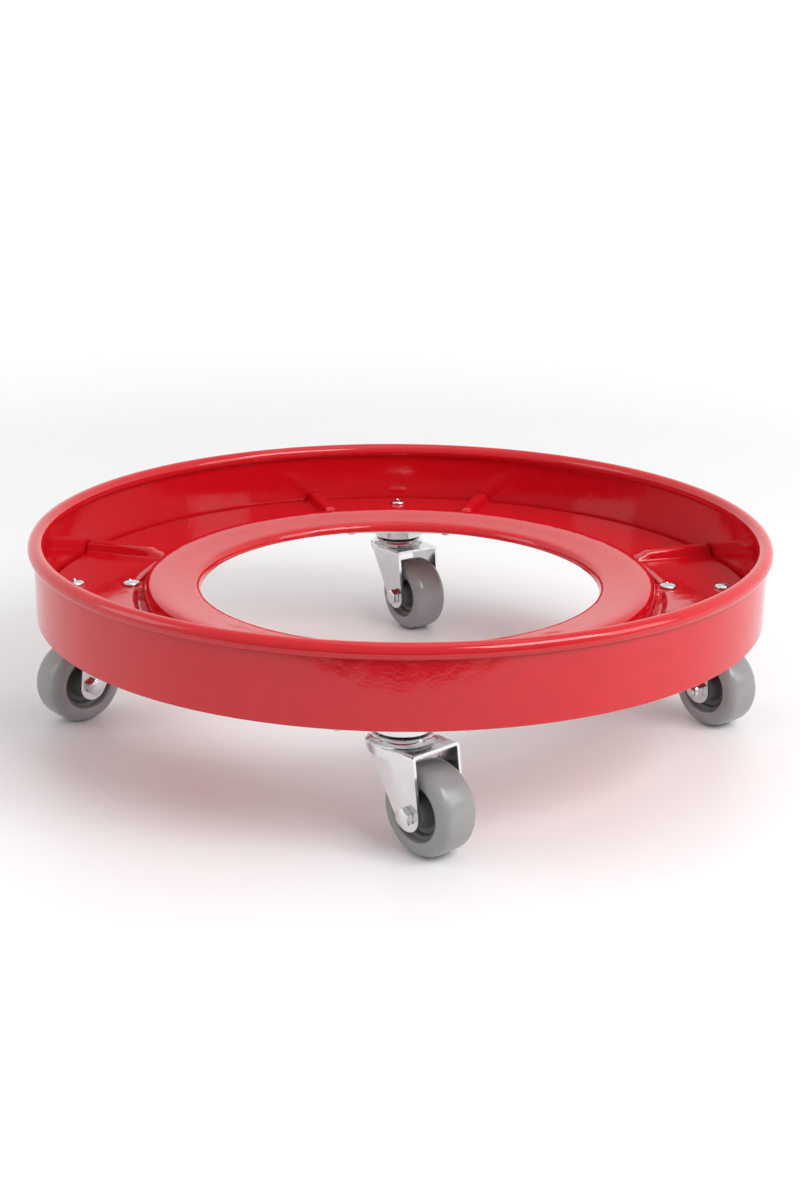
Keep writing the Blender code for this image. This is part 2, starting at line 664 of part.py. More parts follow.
def build():
    clear_scene()
    group = new_collection("drum_dolly")
    cutters = new_collection("cutters")
    paint = new_material("red powder coat", (0.50, 0.004, 0.008), 0.22, 0.0)
    zinc = new_material("bright zinc plate", (0.78, 0.79, 0.80), 0.18, 1.0)
    steel = new_material("plain steel", (0.42, 0.42, 0.43), 0.35, 1.0)
    ball_steel = new_material("ball steel", (0.30, 0.30, 0.31), 0.25, 1.0)
    tread = new_material("grey polyurethane", (0.24, 0.24, 0.24), 0.32, 0.0)
    core = new_material("grey wheel core", (0.10, 0.10, 0.105), 0.45, 0.0)

    piece("outer_rim", rim_mesh(), paint, group)
    deck = piece("deck", deck_mesh(), paint, group)
    wall = deck.modifiers.new("wall", "SOLIDIFY")
    wall.thickness = DECK_SHEET
    wall.offset = -1
    wall.use_even_offset = True
    drill = joined(rod(SCREW_RADIUS + BORE_GAP, PAD_TOP - 3 * DECK_SHEET, PAD_TOP + DECK_SHEET, BORE_SIDES),
                   screw_places())
    drill_object = bpy.data.objects.new("pad_drill", drill)
    cutters.objects.link(drill_object)
    drill_object.hide_render = True
    drill_object.display_type = "WIRE"
    holes = deck.modifiers.new("screw holes", "BOOLEAN")
    holes.operation = "DIFFERENCE"
    holes.solver = "EXACT"
    holes.object = drill_object

    sleeve_half = FORK_INSIDE - GAP
    nut_low = -FORK_WIDTH / 2 - GAP - AXLE_NUT
    upper_height = SEAT_TOP + BALL_GAP + UPPER_BALL / 2
    lower_height = SEAT_TOP - FORK_SHEET - BALL_GAP - LOWER_BALL / 2
    screw = screw_mesh()
    fixed = {
        "saddle": (saddle_mesh(), zinc),
        "top_plate": (top_plate_mesh(), zinc),
        "kingpin": (kingpin_mesh(), steel),
        "lower_race": (cup_mesh(), steel),
    }
    turning = {
        "fork": (fork_mesh(), zinc),
    }
    orbiting = {
        "upper_balls": (balls_mesh(UPPER_BALL, UPPER_BALL_CIRCLE, upper_height, UPPER_BALL_COUNT), ball_steel),
        "lower_balls": (balls_mesh(LOWER_BALL, LOWER_BALL_CIRCLE, lower_height, LOWER_BALL_COUNT), ball_steel),
    }
    clamped = {
        "axle_bolt": (axle_bolt_mesh(), zinc),
        "axle_nut": (hex_mesh(AXLE_HEAD_FLATS, nut_low, nut_low + AXLE_NUT, AXLE_RADIUS + BORE_GAP), zinc),
        "axle_sleeve": (ring_mesh(AXLE_RADIUS + BORE_GAP, SLEEVE_RADIUS, -sleeve_half, sleeve_half), steel),
    }
    rolling = {
        "wheel_core": (core_mesh(), core),
        "tyre": (tyre_mesh(), tread),
    }
    for name, bearing, trail, side in CASTERS:
        turn = Matrix.Rotation(math.radians(bearing), 4, "Z")
        mount = empty("mount_" + name, group, None, turn @ Matrix.Translation((CASTER_CIRCLE, 0, 0)))
        swivel = empty("swivel_" + name, group, mount, Matrix.Rotation(math.radians(trail - bearing), 4, "Z"))
        lay = Matrix.Translation((TRAIL, 0, WHEEL_RADIUS)) @ Matrix.Rotation(math.radians(-90 * side), 4, "X")
        axle = empty("axle_" + name, group, swivel, lay)
        for parts, parent in ((fixed, mount), (turning, swivel), (orbiting, swivel), (clamped, axle),
                              (rolling, axle)):
            for part, (mesh, finish) in parts.items():
                piece(part + "_" + name, mesh, finish, group, parent)
        for place, offset in (("inner", -SCREW_SPACING / 2), ("outer", SCREW_SPACING / 2)):
            piece("pad_screw_" + name + "_" + place, screw, zinc, group, mount,
                  Matrix.Translation((offset, 0, 0)))


build()
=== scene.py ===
import json
import math

import bmesh
import bpy
from mathutils import Matrix, Vector


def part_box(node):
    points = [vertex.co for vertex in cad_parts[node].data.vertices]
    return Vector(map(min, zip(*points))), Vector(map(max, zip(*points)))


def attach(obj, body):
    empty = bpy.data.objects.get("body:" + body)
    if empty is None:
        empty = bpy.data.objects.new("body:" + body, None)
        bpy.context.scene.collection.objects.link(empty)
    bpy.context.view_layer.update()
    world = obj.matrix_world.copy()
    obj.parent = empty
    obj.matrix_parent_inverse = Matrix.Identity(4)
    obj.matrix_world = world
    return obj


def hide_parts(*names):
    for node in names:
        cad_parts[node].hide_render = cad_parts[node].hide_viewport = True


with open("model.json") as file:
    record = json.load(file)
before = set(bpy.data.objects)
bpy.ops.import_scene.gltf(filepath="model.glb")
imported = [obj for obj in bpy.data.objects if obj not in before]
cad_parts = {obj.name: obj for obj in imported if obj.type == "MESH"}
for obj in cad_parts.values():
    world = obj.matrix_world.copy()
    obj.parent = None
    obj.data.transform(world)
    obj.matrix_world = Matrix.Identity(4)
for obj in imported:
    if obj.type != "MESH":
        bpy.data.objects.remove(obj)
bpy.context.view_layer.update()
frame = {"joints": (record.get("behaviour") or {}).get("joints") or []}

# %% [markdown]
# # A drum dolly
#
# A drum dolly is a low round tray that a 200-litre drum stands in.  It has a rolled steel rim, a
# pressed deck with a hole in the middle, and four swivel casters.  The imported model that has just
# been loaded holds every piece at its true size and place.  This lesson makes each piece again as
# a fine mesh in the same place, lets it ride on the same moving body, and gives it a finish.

# %% [markdown]
# ## Forms from profiles and outlines
#
# Most pieces of a caster and a tray are turned or are cut from flat sheet.  A profile spun about
# an axis makes the turned ones, and a flat outline that is extruded makes the others.  Each helper
# gives back a bmesh, here called a form, which later steps cut, join and round.

# %% Basic forms
WELD_DISTANCE = 0.000002


def arc(centre, radius, start, end, count):
    """Points of an arc, with its angles in degrees."""
    turns = [math.radians(start + (end - start) * i / count) for i in range(count + 1)]
    return [(centre[0] + radius * math.cos(turn), centre[1] + radius * math.sin(turn)) for turn in turns]


def lathe(profile, steps, closed=False):
    """Spin a profile of (radius, height) points about Z into a closed skin."""
    form = bmesh.new()
    points = [form.verts.new((radius, 0, height)) for radius, height in profile]
    edges = [form.edges.new(pair) for pair in zip(points, points[1:])]
    if closed:
        edges.append(form.edges.new((points[-1], points[0])))
    bmesh.ops.spin(form, geom=points + edges, cent=(0, 0, 0), axis=(0, 0, 1), angle=math.tau,
                   steps=steps, use_merge=True)
    bmesh.ops.remove_doubles(form, verts=form.verts, dist=WELD_DISTANCE)
    bmesh.ops.recalc_face_normals(form, faces=form.faces)
    return form


def slab(outline, low, high):
    """A flat outline of (x, y) points, extruded from one height to another."""
    form = bmesh.new()
    face = form.faces.new([form.verts.new((x, y, low)) for x, y in outline])
    raised = bmesh.ops.extrude_face_region(form, geom=[face])
    top = [item for item in raised["geom"] if isinstance(item, bmesh.types.BMVert)]
    bmesh.ops.translate(form, verts=top, vec=(0, 0, high - low))
    bmesh.ops.recalc_face_normals(form, faces=form.faces)
    return form


def column(radius, low, high, sides=48, end_radius=None):
    """An upright cylinder, or a cone when its upper radius is given."""
    form = bmesh.new()
    bmesh.ops.create_cone(form, cap_ends=True, segments=sides, radius1=radius,
                          radius2=radius if end_radius is None else end_radius, depth=high - low)
    bmesh.ops.translate(form, verts=form.verts, vec=(0, 0, (low + high) / 2))
    return form


def block(low, high):
    """A box between two corners."""
    form = bmesh.new()
    bmesh.ops.create_cube(form, size=1)
    bmesh.ops.scale(form, verts=form.verts, vec=Vector(high) - Vector(low))
    bmesh.ops.translate(form, verts=form.verts, vec=(Vector(high) + Vector(low)) / 2)
    return form


print("basic forms: arc, lathe, slab, column and block")

# %% [markdown]
# ## Working on forms
#
# A form is moved, its sharp edges are rounded, and other forms are added to it or cut from it.
# An exact Boolean modifier does the cutting on a working object, and its result is read back.
# Pieces that only touch stay separate shells in one form, which is lighter than a Boolean.

# %% Changing and joining forms
def turned(form, place):
    """Move or turn a whole form in place, and hand it back."""
    bmesh.ops.transform(form, matrix=place, verts=form.verts)
    return form


def soften(form, angle, width, segments=2):
    """Round the edges of a form that are sharper than an angle in degrees."""
    sharp = [edge for edge in form.edges if edge.is_manifold and edge.calc_face_angle() > math.radians(angle)]
    bmesh.ops.bevel(form, geom=sharp, offset=width, affect="EDGES", segments=segments, profile=0.5,
                    material=-1, clamp_overlap=True)
    return form


def as_mesh(form, name="form"):
    """Turn a form into a mesh, and free the form."""
    mesh = bpy.data.meshes.new(name)
    form.to_mesh(mesh)
    form.free()
    return mesh


def as_form(mesh):
    """Turn a mesh back into a form, and remove the mesh."""
    form = bmesh.new()
    form.from_mesh(mesh)
    bpy.data.meshes.remove(mesh)
    return form


def combined(form, others, operation):
    """Add forms to a form, or cut them from it, with exact Booleans, and return the result."""
    thing = bpy.data.objects.new("working", as_mesh(form))
    bpy.context.scene.collection.objects.link(thing)
    helpers = []
    for other in others:
        helper = bpy.data.objects.new("helper", as_mesh(other))
        bpy.context.scene.collection.objects.link(helper)
        step = thing.modifiers.new("combine", "BOOLEAN")
        step.operation = operation
        step.solver = "EXACT"
        step.object = helper
        helpers.append(helper)
    graph = bpy.context.evaluated_depsgraph_get()
    mesh = bpy.data.meshes.new_from_object(thing.evaluated_get(graph))
    for helper in helpers + [thing]:
        bpy.data.objects.remove(helper, do_unlink=True)
    return as_form(mesh)


def merged(forms):
    """Several forms in one, as separate shells."""
    whole = bmesh.new()
    for form in forms:
        mesh = as_mesh(form)
        whole.from_mesh(mesh)
        bpy.data.meshes.remove(mesh)
    return whole


print("working helpers: turned, soften, combined and merged")

# %% [markdown]
# ## Finishing a piece
#
# A finished piece is shaded smooth up to an angle, so that rolled steel looks round and its edges
# stay crisp.  It rides on one of the moving bodies, and the imported nodes that it stands for are hidden.

# %% Finished pieces
SMOOTH = math.radians(40)


def finished(form, name, finish, body, stands_for=(), place=None):
    """Make a form a smooth-shaded object with a finish, and let it ride on its body."""
    if place is not None:
        turned(form, place)
    mesh = as_mesh(form, name)
    mesh.materials.append(finish)
    mesh.shade_smooth()
    mesh.set_sharp_from_angle(angle=SMOOTH)
    piece = bpy.data.objects.new(name, mesh)
    bpy.context.scene.collection.objects.link(piece)
    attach(piece, body)
    if stands_for:
        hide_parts(*stands_for)
    return piece


# %% [markdown]
# ## Where the casters are
#
# Every caster is the same, so it is modelled once about its own upright swivel axis and then
# placed four times.  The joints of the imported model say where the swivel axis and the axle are.
# A caster has two places: a fixed one, square to the tray, for the plate above the swivel, and a
# turning one, along its trail, for the fork and the wheel.

# %% Caster places
JOINTS = {joint["name"]: joint for joint in frame["joints"]}
CASTERS = ("front", "back", "left", "right")
AXLE_HEIGHT = JOINTS["roll_front"]["pos_m"][2]


def trail_of(name):
    """From a caster's swivel axis to its axle, seen from above."""
    return (Vector(JOINTS["roll_" + name]["pos_m"]) - Vector(JOINTS["swivel_" + name]["pos_m"])).xy


def bolt_side(name):
    """1 where the head of the axle bolt is on the left of the trail, and otherwise -1."""
    trail = trail_of(name)
    low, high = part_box("axle_nut_" + name)
    nut = (low + high) / 2 - Vector(JOINTS["roll_" + name]["pos_m"])
    return 1 if trail.y * nut.x - trail.x * nut.y > 0 else -1


def caster_places(name):
    """Where a caster's fixed pieces, its turning pieces and its axle are."""
    swivel = Vector(JOINTS["swivel_" + name]["pos_m"])
    trail = trail_of(name)
    foot = Matrix.Translation((swivel.x, swivel.y, 0))
    turning = foot @ Matrix.Rotation(math.atan2(trail.y, trail.x), 4, "Z")
    lying = Matrix.Rotation(math.radians(-90 * bolt_side(name)), 4, "X")
    return {
        "fixed": foot @ Matrix.Rotation(math.atan2(swivel.y, swivel.x), 4, "Z"),
        "turning": turning,
        "axle": turning @ Matrix.Translation((trail.length, 0, AXLE_HEIGHT)) @ lying,
    }


TRAIL = trail_of("front").length
PLACES = {name: caster_places(name) for name in CASTERS}
print("trail:", round(TRAIL, 4), "axle height:", round(AXLE_HEIGHT, 4))

# %% [markdown]
# ## Shared surface effects
#
# Powder coat, zinc plate and moulded plastic are all faintly uneven, so one node group gives a
# grain of any size, and each finish uses it with its own values.  A node group is built once and
# takes named inputs.  This first cell makes an empty group and the node that turns a size in
# metres into the scale that a noise texture wants.

# %% Empty groups
def new_group(name, inputs):
    """A node group with the given inputs and one output, a height."""
    group = bpy.data.node_groups.new(name, "ShaderNodeTree")
    for label, kind, value in inputs:
        socket = group.interface.new_socket(label, in_out="INPUT", socket_type=kind)
        if value is not None:
            socket.default_value = value
    group.interface.new_socket("Height", in_out="OUTPUT", socket_type="NodeSocketFloat")
    return group, group.nodes.new("NodeGroupInput"), group.nodes.new("NodeGroupOutput")


def sized_noise(group, start, end):
    """Noise whose scale is one over the group's Size, put out as its Height."""
    scale = group.nodes.new("ShaderNodeMath")
    scale.operation = "DIVIDE"
    scale.inputs[0].default_value = 1
    noise = group.nodes.new("ShaderNodeTexNoise")
    group.links.new(start.outputs["Size"], scale.inputs[1])
    group.links.new(scale.outputs[0], noise.inputs["Scale"])
    group.links.new(noise.outputs["Fac"], end.inputs["Height"])
    return noise


print("group helpers: new_group and sized_noise")

# %% [markdown]
# The grain is plain noise.  Its Detail says how many finer layers lie over the first.

# %% Grain
def make_grain_group():
    """Even grain of a size in metres."""
    group, start, end = new_group(
        "surface grain",
        [("Vector", "NodeSocketVector", None), ("Size", "NodeSocketFloat", 0.002),
         ("Detail", "NodeSocketFloat", 2.0)])
    noise = sized_noise(group, start, end)
    group.links.new(start.outputs["Vector"], noise.inputs["Vector"])
    group.links.new(start.outputs["Detail"], noise.inputs["Detail"])
    return group


GRAIN = make_grain_group()
print("node group:", GRAIN.name)

# %% [markdown]
# Rolled sheet keeps long fine streaks from the mill.  Squeezing the coordinates along one
# direction before the noise draws its spots out into streaks.

# %% Streaks
STREAK_DETAIL = 3


def make_streak_group():
    """Noise drawn out along one direction of the piece."""
    group, start, end = new_group(
        "rolled streaks",
        [("Vector", "NodeSocketVector", None), ("Size", "NodeSocketFloat", 0.001),
         ("Stretch", "NodeSocketVector", (1, 1, 0.08))])
    noise = sized_noise(group, start, end)
    noise.inputs["Detail"].default_value = STREAK_DETAIL
    draw = group.nodes.new("ShaderNodeVectorMath")
    draw.operation = "MULTIPLY"
    group.links.new(start.outputs["Vector"], draw.inputs[0])
    group.links.new(start.outputs["Stretch"], draw.inputs[1])
    group.links.new(draw.outputs[0], noise.inputs["Vector"])
    return group


STREAKS = make_streak_group()
print("node group:", STREAKS.name)

# %% [markdown]
# ## Finishes
#
# A finish is a Principled shader whose colour, roughness and bump come from the groups above.
# The helper makes the shader and the nodes that every finish has, and each finish then sets what
# is its own.  Values that are the same all over stay on the shader's sockets.

# %% Finish helpers
NOISE_LOW = 0.3
NOISE_HIGH = 0.7


def new_finish(name, metallic=0.0, ior=1.5):
    """A material, its shader, and the piece's own coordinates."""
    finish = bpy.data.materials.new(name)
    finish.use_nodes = True
    nodes = finish.node_tree.nodes
    shader = nodes["Principled BSDF"]
    shader.inputs["Metallic"].default_value = metallic
    shader.inputs["IOR"].default_value = ior
    place = nodes.new("ShaderNodeTexCoord")
    return finish, shader, place.outputs["Object"]


def use_group(finish, group, vector, **values):
    """Place a node group in a finish with its own values."""
    node = finish.node_tree.nodes.new("ShaderNodeGroup")
    node.node_tree = group
    finish.node_tree.links.new(vector, node.inputs["Vector"])
    for label, value in values.items():
        node.inputs[label].default_value = value
    return node


def colour_between(finish, shader, factor, first, second):
    """Base colour that goes from one colour to another with a factor."""
    mix = finish.node_tree.nodes.new("ShaderNodeMix")
    mix.data_type = "RGBA"
    mix.inputs["A"].default_value = (*first, 1)
    mix.inputs["B"].default_value = (*second, 1)
    finish.node_tree.links.new(factor, mix.inputs["Factor"])
    finish.node_tree.links.new(mix.outputs["Result"], shader.inputs["Base Color"])


def roughness_between(finish, shader, factor, low, high):
    """Roughness that goes from low to high as noise goes over its usual range."""
    spread = finish.node_tree.nodes.new("ShaderNodeMapRange")
    spread.inputs["From Min"].default_value = NOISE_LOW
    spread.inputs["From Max"].default_value = NOISE_HIGH
    spread.inputs["To Min"].default_value = low
    spread.inputs["To Max"].default_value = high
    finish.node_tree.links.new(factor, spread.inputs["Value"])
    finish.node_tree.links.new(spread.outputs["Result"], shader.inputs["Roughness"])


def bump(finish, shader, heights):
    """Bump from several (height, depth in metres) pairs, one on the other."""
    below = None
    for height, depth in heights:
        node = finish.node_tree.nodes.new("ShaderNodeBump")
        node.inputs["Distance"].default_value = depth
        finish.node_tree.links.new(height, node.inputs["Height"])
        if below is not None:
            finish.node_tree.links.new(below, node.inputs["Normal"])
        below = node.outputs["Normal"]
    finish.node_tree.links.new(below, shader.inputs["Normal"])


print("finish helpers: new_finish, use_group, colour_between, roughness_between and bump")

# %% [markdown]
# ## Red powder coat
#
# The tray is powder coated.  The powder melts into a glossy skin that is never quite flat: it
# keeps the fine dimples called orange peel, over a longer ripple.  Two grains of different size
# make the bump, and the longer one also moves the colour and the gloss a little.

# %% Red powder coat
PEEL_SIZE = 0.0024
PEEL_DEPTH = 0.00004
RIPPLE_SIZE = 0.016
RIPPLE_DEPTH = 0.00022


def make_red_coat():
    finish, shader, place = new_finish("red powder coat", ior=1.52)
    peel = use_group(finish, GRAIN, place, Size=PEEL_SIZE, Detail=1.0)
    ripple = use_group(finish, GRAIN, place, Size=RIPPLE_SIZE, Detail=1.5)
    deep_red = (0.515, 0.004, 0.010)
    clear_red = (0.60, 0.006, 0.012)
    colour_between(finish, shader, ripple.outputs["Height"], deep_red, clear_red)
    roughness_between(finish, shader, ripple.outputs["Height"], 0.07, 0.12)
    bump(finish, shader, [(peel.outputs["Height"], PEEL_DEPTH), (ripple.outputs["Height"], RIPPLE_DEPTH)])
    return finish


RED_COAT = make_red_coat()
print("finish:", RED_COAT.name)

# %% [markdown]
# ## Bright zinc
#
# The forks, plates and fasteners are steel with a bright zinc plate.  It mirrors the room, but
# with the streaks of the rolled sheet under it and a cloudy change of gloss from the plating bath.

# %% Bright zinc
CLOUD_SIZE = 0.009
CLOUD_DEPTH = 0.00012
STREAK_SIZE = 0.0007


def make_zinc(name, low, high, streak_depth):
    """Zinc plate between two roughnesses, over streaks of a depth."""
    finish, shader, place = new_finish(name, metallic=1.0)
    cloud = use_group(finish, GRAIN, place, Size=CLOUD_SIZE, Detail=2.0)
    streaks = use_group(finish, STREAKS, place, Size=STREAK_SIZE)
    dull_zinc = (0.62, 0.63, 0.65)
    clean_zinc = (0.78, 0.78, 0.78)
    colour_between(finish, shader, cloud.outputs["Height"], dull_zinc, clean_zinc)
    roughness_between(finish, shader, cloud.outputs["Height"], low, high)
    bump(finish, shader, [(streaks.outputs["Height"], streak_depth), (cloud.outputs["Height"], CLOUD_DEPTH)])
    return finish


BRIGHT_ZINC = make_zinc("bright zinc plate", 0.10, 0.22, 0.000012)
FASTENER_ZINC = make_zinc("bright zinc fasteners", 0.08, 0.17, 0.000004)
print("finishes:", BRIGHT_ZINC.name, "and", FASTENER_ZINC.name)

# %% [markdown]
# ## Plain steel
#
# The races and the kingpin are plain steel with a film of oil, so they are darker than the zinc.
# A fine noise moves both the colour and the roughness, as an uneven film does.

# %% Plain steel
FILM_SIZE = 0.004
FILM_DEPTH = 0.00003


def make_plain_steel():
    finish, shader, place = new_finish("oiled plain steel", metallic=1.0)
    film = use_group(finish, GRAIN, place, Size=FILM_SIZE, Detail=3.0)
    oiled = (0.16, 0.155, 0.15)
    bare = (0.40, 0.40, 0.40)
    colour_between(finish, shader, film.outputs["Height"], oiled, bare)
    roughness_between(finish, shader, film.outputs["Height"], 0.22, 0.42)
    bump(finish, shader, [(film.outputs["Height"], FILM_DEPTH)])
    return finish


PLAIN_STEEL = make_plain_steel()
print("finish:", PLAIN_STEEL.name)

# %% [markdown]
# ## Polyurethane and the wheel core
#
# The tyre is cast polyurethane: an even grey with a soft sheen.  A fine grain breaks up its
# highlights, and a broader one leaves faint cloudy patches like those that handling leaves.  The
# core is moulded harder and darker, with a coarser grain from its mould.

# %% Polyurethane and core
PATCH_SIZE = 0.014


def make_plastic(name, colours, roughness, grain, depth):
    """Moulded plastic between two colours and two roughnesses, with a grain of a size and depth."""
    finish, shader, place = new_finish(name, ior=1.5)
    fine = use_group(finish, GRAIN, place, Size=grain, Detail=2.0)
    patches = use_group(finish, GRAIN, place, Size=PATCH_SIZE, Detail=3.0)
    colour_between(finish, shader, patches.outputs["Height"], *colours)
    roughness_between(finish, shader, patches.outputs["Height"], *roughness)
    bump(finish, shader, [(fine.outputs["Height"], depth)])
    return finish


TYRE_GREY = make_plastic("grey polyurethane", colours=((0.255, 0.257, 0.257), (0.295, 0.295, 0.292)),
                         roughness=(0.18, 0.27), grain=0.0008, depth=0.00002)
CORE_GREY = make_plastic("moulded wheel core", colours=((0.105, 0.108, 0.110), (0.130, 0.132, 0.132)),
                         roughness=(0.34, 0.48), grain=0.0006, depth=0.00004)
print("finishes:", TYRE_GREY.name, "and", CORE_GREY.name)

# %% [markdown]
# ## The rim
#
# The rim is a band of steel whose top edge is curled round into a bead, so that it has no sharp
# edge and keeps its shape.  Its section is drawn once, as one closed line: up the inside of the
# band, round the outside of the bead, back round the inside of the bead, and down again.
# Spinning that line about the middle of the tray makes the whole rim.

# %% Rim
SHEET = 0.0020
BEAD_RADIUS = 0.0065
BEAD_END = -55
ROLL_STEPS = 240
EDGE_BREAK = SHEET / 4
THROAT = 0.0012

rim_low, rim_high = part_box("outer_rim")
BEAD_CENTRE = (rim_high.x - BEAD_RADIUS, rim_high.z - BEAD_RADIUS)
BAND_RADIUS = BEAD_CENTRE[0]


def make_rim():
    """The rim, with a small fillet, the throat, where the band turns into the bead."""
    hollow = BEAD_RADIUS - SHEET
    root = 360 - math.degrees(math.acos(SHEET / hollow))
    reach = math.sqrt(BEAD_RADIUS ** 2 + 2 * BEAD_RADIUS * THROAT)
    lean = math.degrees(math.atan2(reach, THROAT))
    section = [(BAND_RADIUS + EDGE_BREAK, rim_low.z), (BAND_RADIUS, rim_low.z + EDGE_BREAK)]
    section += arc((BAND_RADIUS - THROAT, BEAD_CENTRE[1] - reach), THROAT, 0, lean, 5)
    section += arc(BEAD_CENTRE, BEAD_RADIUS, 180 + lean, BEAD_END, 40)
    section += arc(BEAD_CENTRE, hollow, BEAD_END, root, 24)
    section += [(BAND_RADIUS + SHEET, rim_low.z + EDGE_BREAK), (BAND_RADIUS + SHEET - EDGE_BREAK, rim_low.z)]
    form = lathe(section, ROLL_STEPS, closed=True)
    return finished(form, "rolled_rim", RED_COAT, "root", ["outer_rim"])


rim = make_rim()
print("rim:", len(rim.data.polygons), "faces")

# %% [markdown]
# ## The deck
#
# The deck is one plate pressed in a die.  From the hole outwards it has a rounded lip, a raised
# ring, a groove and then either a flat caster pad or a strip that slopes up to a ledge.  Each pad
# has a rib on each side, a little further round on the side pads than on the front and back ones.
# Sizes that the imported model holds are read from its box, and the rest are given here.

# %% Deck sizes
HOLE_RADIUS = 0.171
RING_WIDTH = 0.0500
HOLE_LIP_RISE = 0.0085
RING_RISE = 0.0128
VALLEY_DEPTH = 0.0060
VALLEY_WIDTH = 0.0065
LEDGE_WIDTH = 0.0140
EDGE_BEND = 0.0040
RIB_ANGLES = (20.8, 16.3)
RIB_TOP = 0.0094
RIB_FLANK = 0.0031
RIB_RISE = 0.0085
BULGE_WIDTH = 0.0270
CASTER_CIRCLE = Vector(JOINTS["swivel_right"]["pos_m"]).xy.length

deck_low, deck_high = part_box("deck")
PAD_TOP = deck_high.z - RING_RISE
DECK_RADIUS = deck_high.x
RING_FOOT = HOLE_RADIUS + RING_WIDTH
PAD_EDGE = RING_FOOT + VALLEY_WIDTH
SUNK_SHARE = 0.8
QUARTER = 90
RIB_HALF = math.degrees(RIB_TOP / 2 / CASTER_CIRCLE)
RIB_REACH = RIB_HALF + math.degrees(RIB_FLANK / CASTER_CIRCLE)
BULGE_ANGLE = math.degrees(BULGE_WIDTH / 2 / CASTER_CIRCLE)
print("pads at", round(PAD_TOP, 4), "ribs at", round(PAD_TOP + RIB_RISE, 4))

# %% [markdown]
# The deck's section is a row of stations.  Each has a radius, a height over the pads, and the zone
# of the deck that it is in, because the die presses each zone differently.  Two stations close
# together make a tight bend once the cage is subdivided, and two far apart make a soft one.

# %% Deck section
def deck_profile():
    """Stations from the hole outwards: radius, height over the pads, and zone."""
    bend = DECK_RADIUS - EDGE_BEND
    ledge = bend - LEDGE_WIDTH
    lip = HOLE_LIP_RISE
    return [
        (HOLE_RADIUS, 0.0005, "ring"), (HOLE_RADIUS, 0.0012, "ring"),
        (HOLE_RADIUS + 0.0002, lip * 0.45, "ring"), (HOLE_RADIUS + 0.0020, lip * 0.88, "ring"),
        (HOLE_RADIUS + 0.0060, lip * 1.02, "ring"), (HOLE_RADIUS + 0.016, lip + 0.0012, "ring"),
        (RING_FOOT - 0.0200, RING_RISE - 0.0008, "ring"), (RING_FOOT - 0.0095, RING_RISE, "ring"),
        (RING_FOOT - 0.0050, RING_RISE - 0.0012, "ring"), (RING_FOOT - 0.0028, RING_RISE * 0.62, "ring"),
        (RING_FOOT - 0.0012, RING_RISE * 0.18, "foot"), (RING_FOOT, 0.0, "valley"),
        (RING_FOOT + 0.0022, 0.0, "valley"), (PAD_EDGE - 0.0022, 0.0, "valley"),
        (PAD_EDGE - 0.0002, 0.0, "edge"), (PAD_EDGE + 0.0022, 0.0, "inner"),
        (PAD_EDGE + 0.0090, 0.0, "inner"), (PAD_EDGE + 0.0120, 0.0, "pad"),
        (CASTER_CIRCLE, 0.0, "pad"), (ledge - 0.0015, 0.0, "pad"), (ledge + 0.0015, 0.0, "ledge"),
        (bend - 0.0010, 0.0, "ledge"), (bend + EDGE_BEND * 0.55, -EDGE_BEND * 0.12, "ledge"),
        (DECK_RADIUS, -EDGE_BEND * 0.65, "ledge"), (DECK_RADIUS, -EDGE_BEND * 1.6, "flange"),
        (DECK_RADIUS, deck_low.z - PAD_TOP, "flange"),
    ]


print("stations across the deck:", len(deck_profile()))

# %% [markdown]
# Going round the deck, the die adds a height that depends on the angle from the nearest pad's
# centre line: nothing on a pad, a rib at its edge, and a strip between the pads that lies lower
# near the ring.  Stations crowd together at the ribs and at the bulge in front of each pad.

# %% Pads, ribs and valley
def pressed(kind, angle, rib, radius):
    """Height that the die adds at a station, at an angle in degrees from a pad's centre line."""
    angle = abs(angle)
    side = min(1, max(0, (RIB_REACH - abs(angle - rib)) / (RIB_REACH - RIB_HALF)))
    rise = RIB_RISE * side
    on_pad = angle < rib
    slope = (CASTER_CIRCLE + LEDGE_WIDTH - radius) / (CASTER_CIRCLE + LEDGE_WIDTH - PAD_EDGE)
    sunk = 0 if on_pad else -VALLEY_DEPTH * SUNK_SHARE * min(1, max(0, slope))
    if kind in ("ring", "flange"):
        return 0
    if kind == "foot":
        return 0 if angle < BULGE_ANGLE else -VALLEY_DEPTH * 0.45
    if kind == "valley":
        return 0 if angle < BULGE_ANGLE else -VALLEY_DEPTH
    if kind == "edge":
        return -VALLEY_DEPTH * 0.15 if on_pad and angle > BULGE_ANGLE else sunk
    if kind == "inner":
        return max(rise * 0.55, sunk) if side > 0.5 else sunk
    return max(rise, sunk) if rise > 0 else sunk


def deck_angles(rib):
    """Stations round one quarter: close together where the ribs and the bulge are."""
    near = rib - RIB_REACH
    far = rib + RIB_REACH
    start = far + 1.2
    middle = QUARTER / 2
    rest = [start + (middle - start) * i / 5 for i in range(5)]
    half = [BULGE_ANGLE * 0.55, BULGE_ANGLE * 0.92, BULGE_ANGLE * 1.12, BULGE_ANGLE * 1.7, 8.5, 12.5,
            near - 0.45, near, near + 0.16, rib - RIB_HALF - 0.16, rib - RIB_HALF + 0.12,
            rib, rib + RIB_HALF - 0.12, rib + RIB_HALF + 0.16, far - 0.16, far, far + 0.45] + rest
    return [-angle for angle in reversed(half)] + [0] + half + [middle]


print("stations round a side quarter:", len(deck_angles(RIB_ANGLES[0])))

# %% [markdown]
# The coarse cage is spun from the section with even spokes.  Each point is marked by its height
# with the station that it came from, so that it can then be moved to its true radius, angle and
# height.  Subdivision rounds every bend the way a die does, and Solidify makes it sheet.

# %% Deck
DIE_ROUNDING = 2


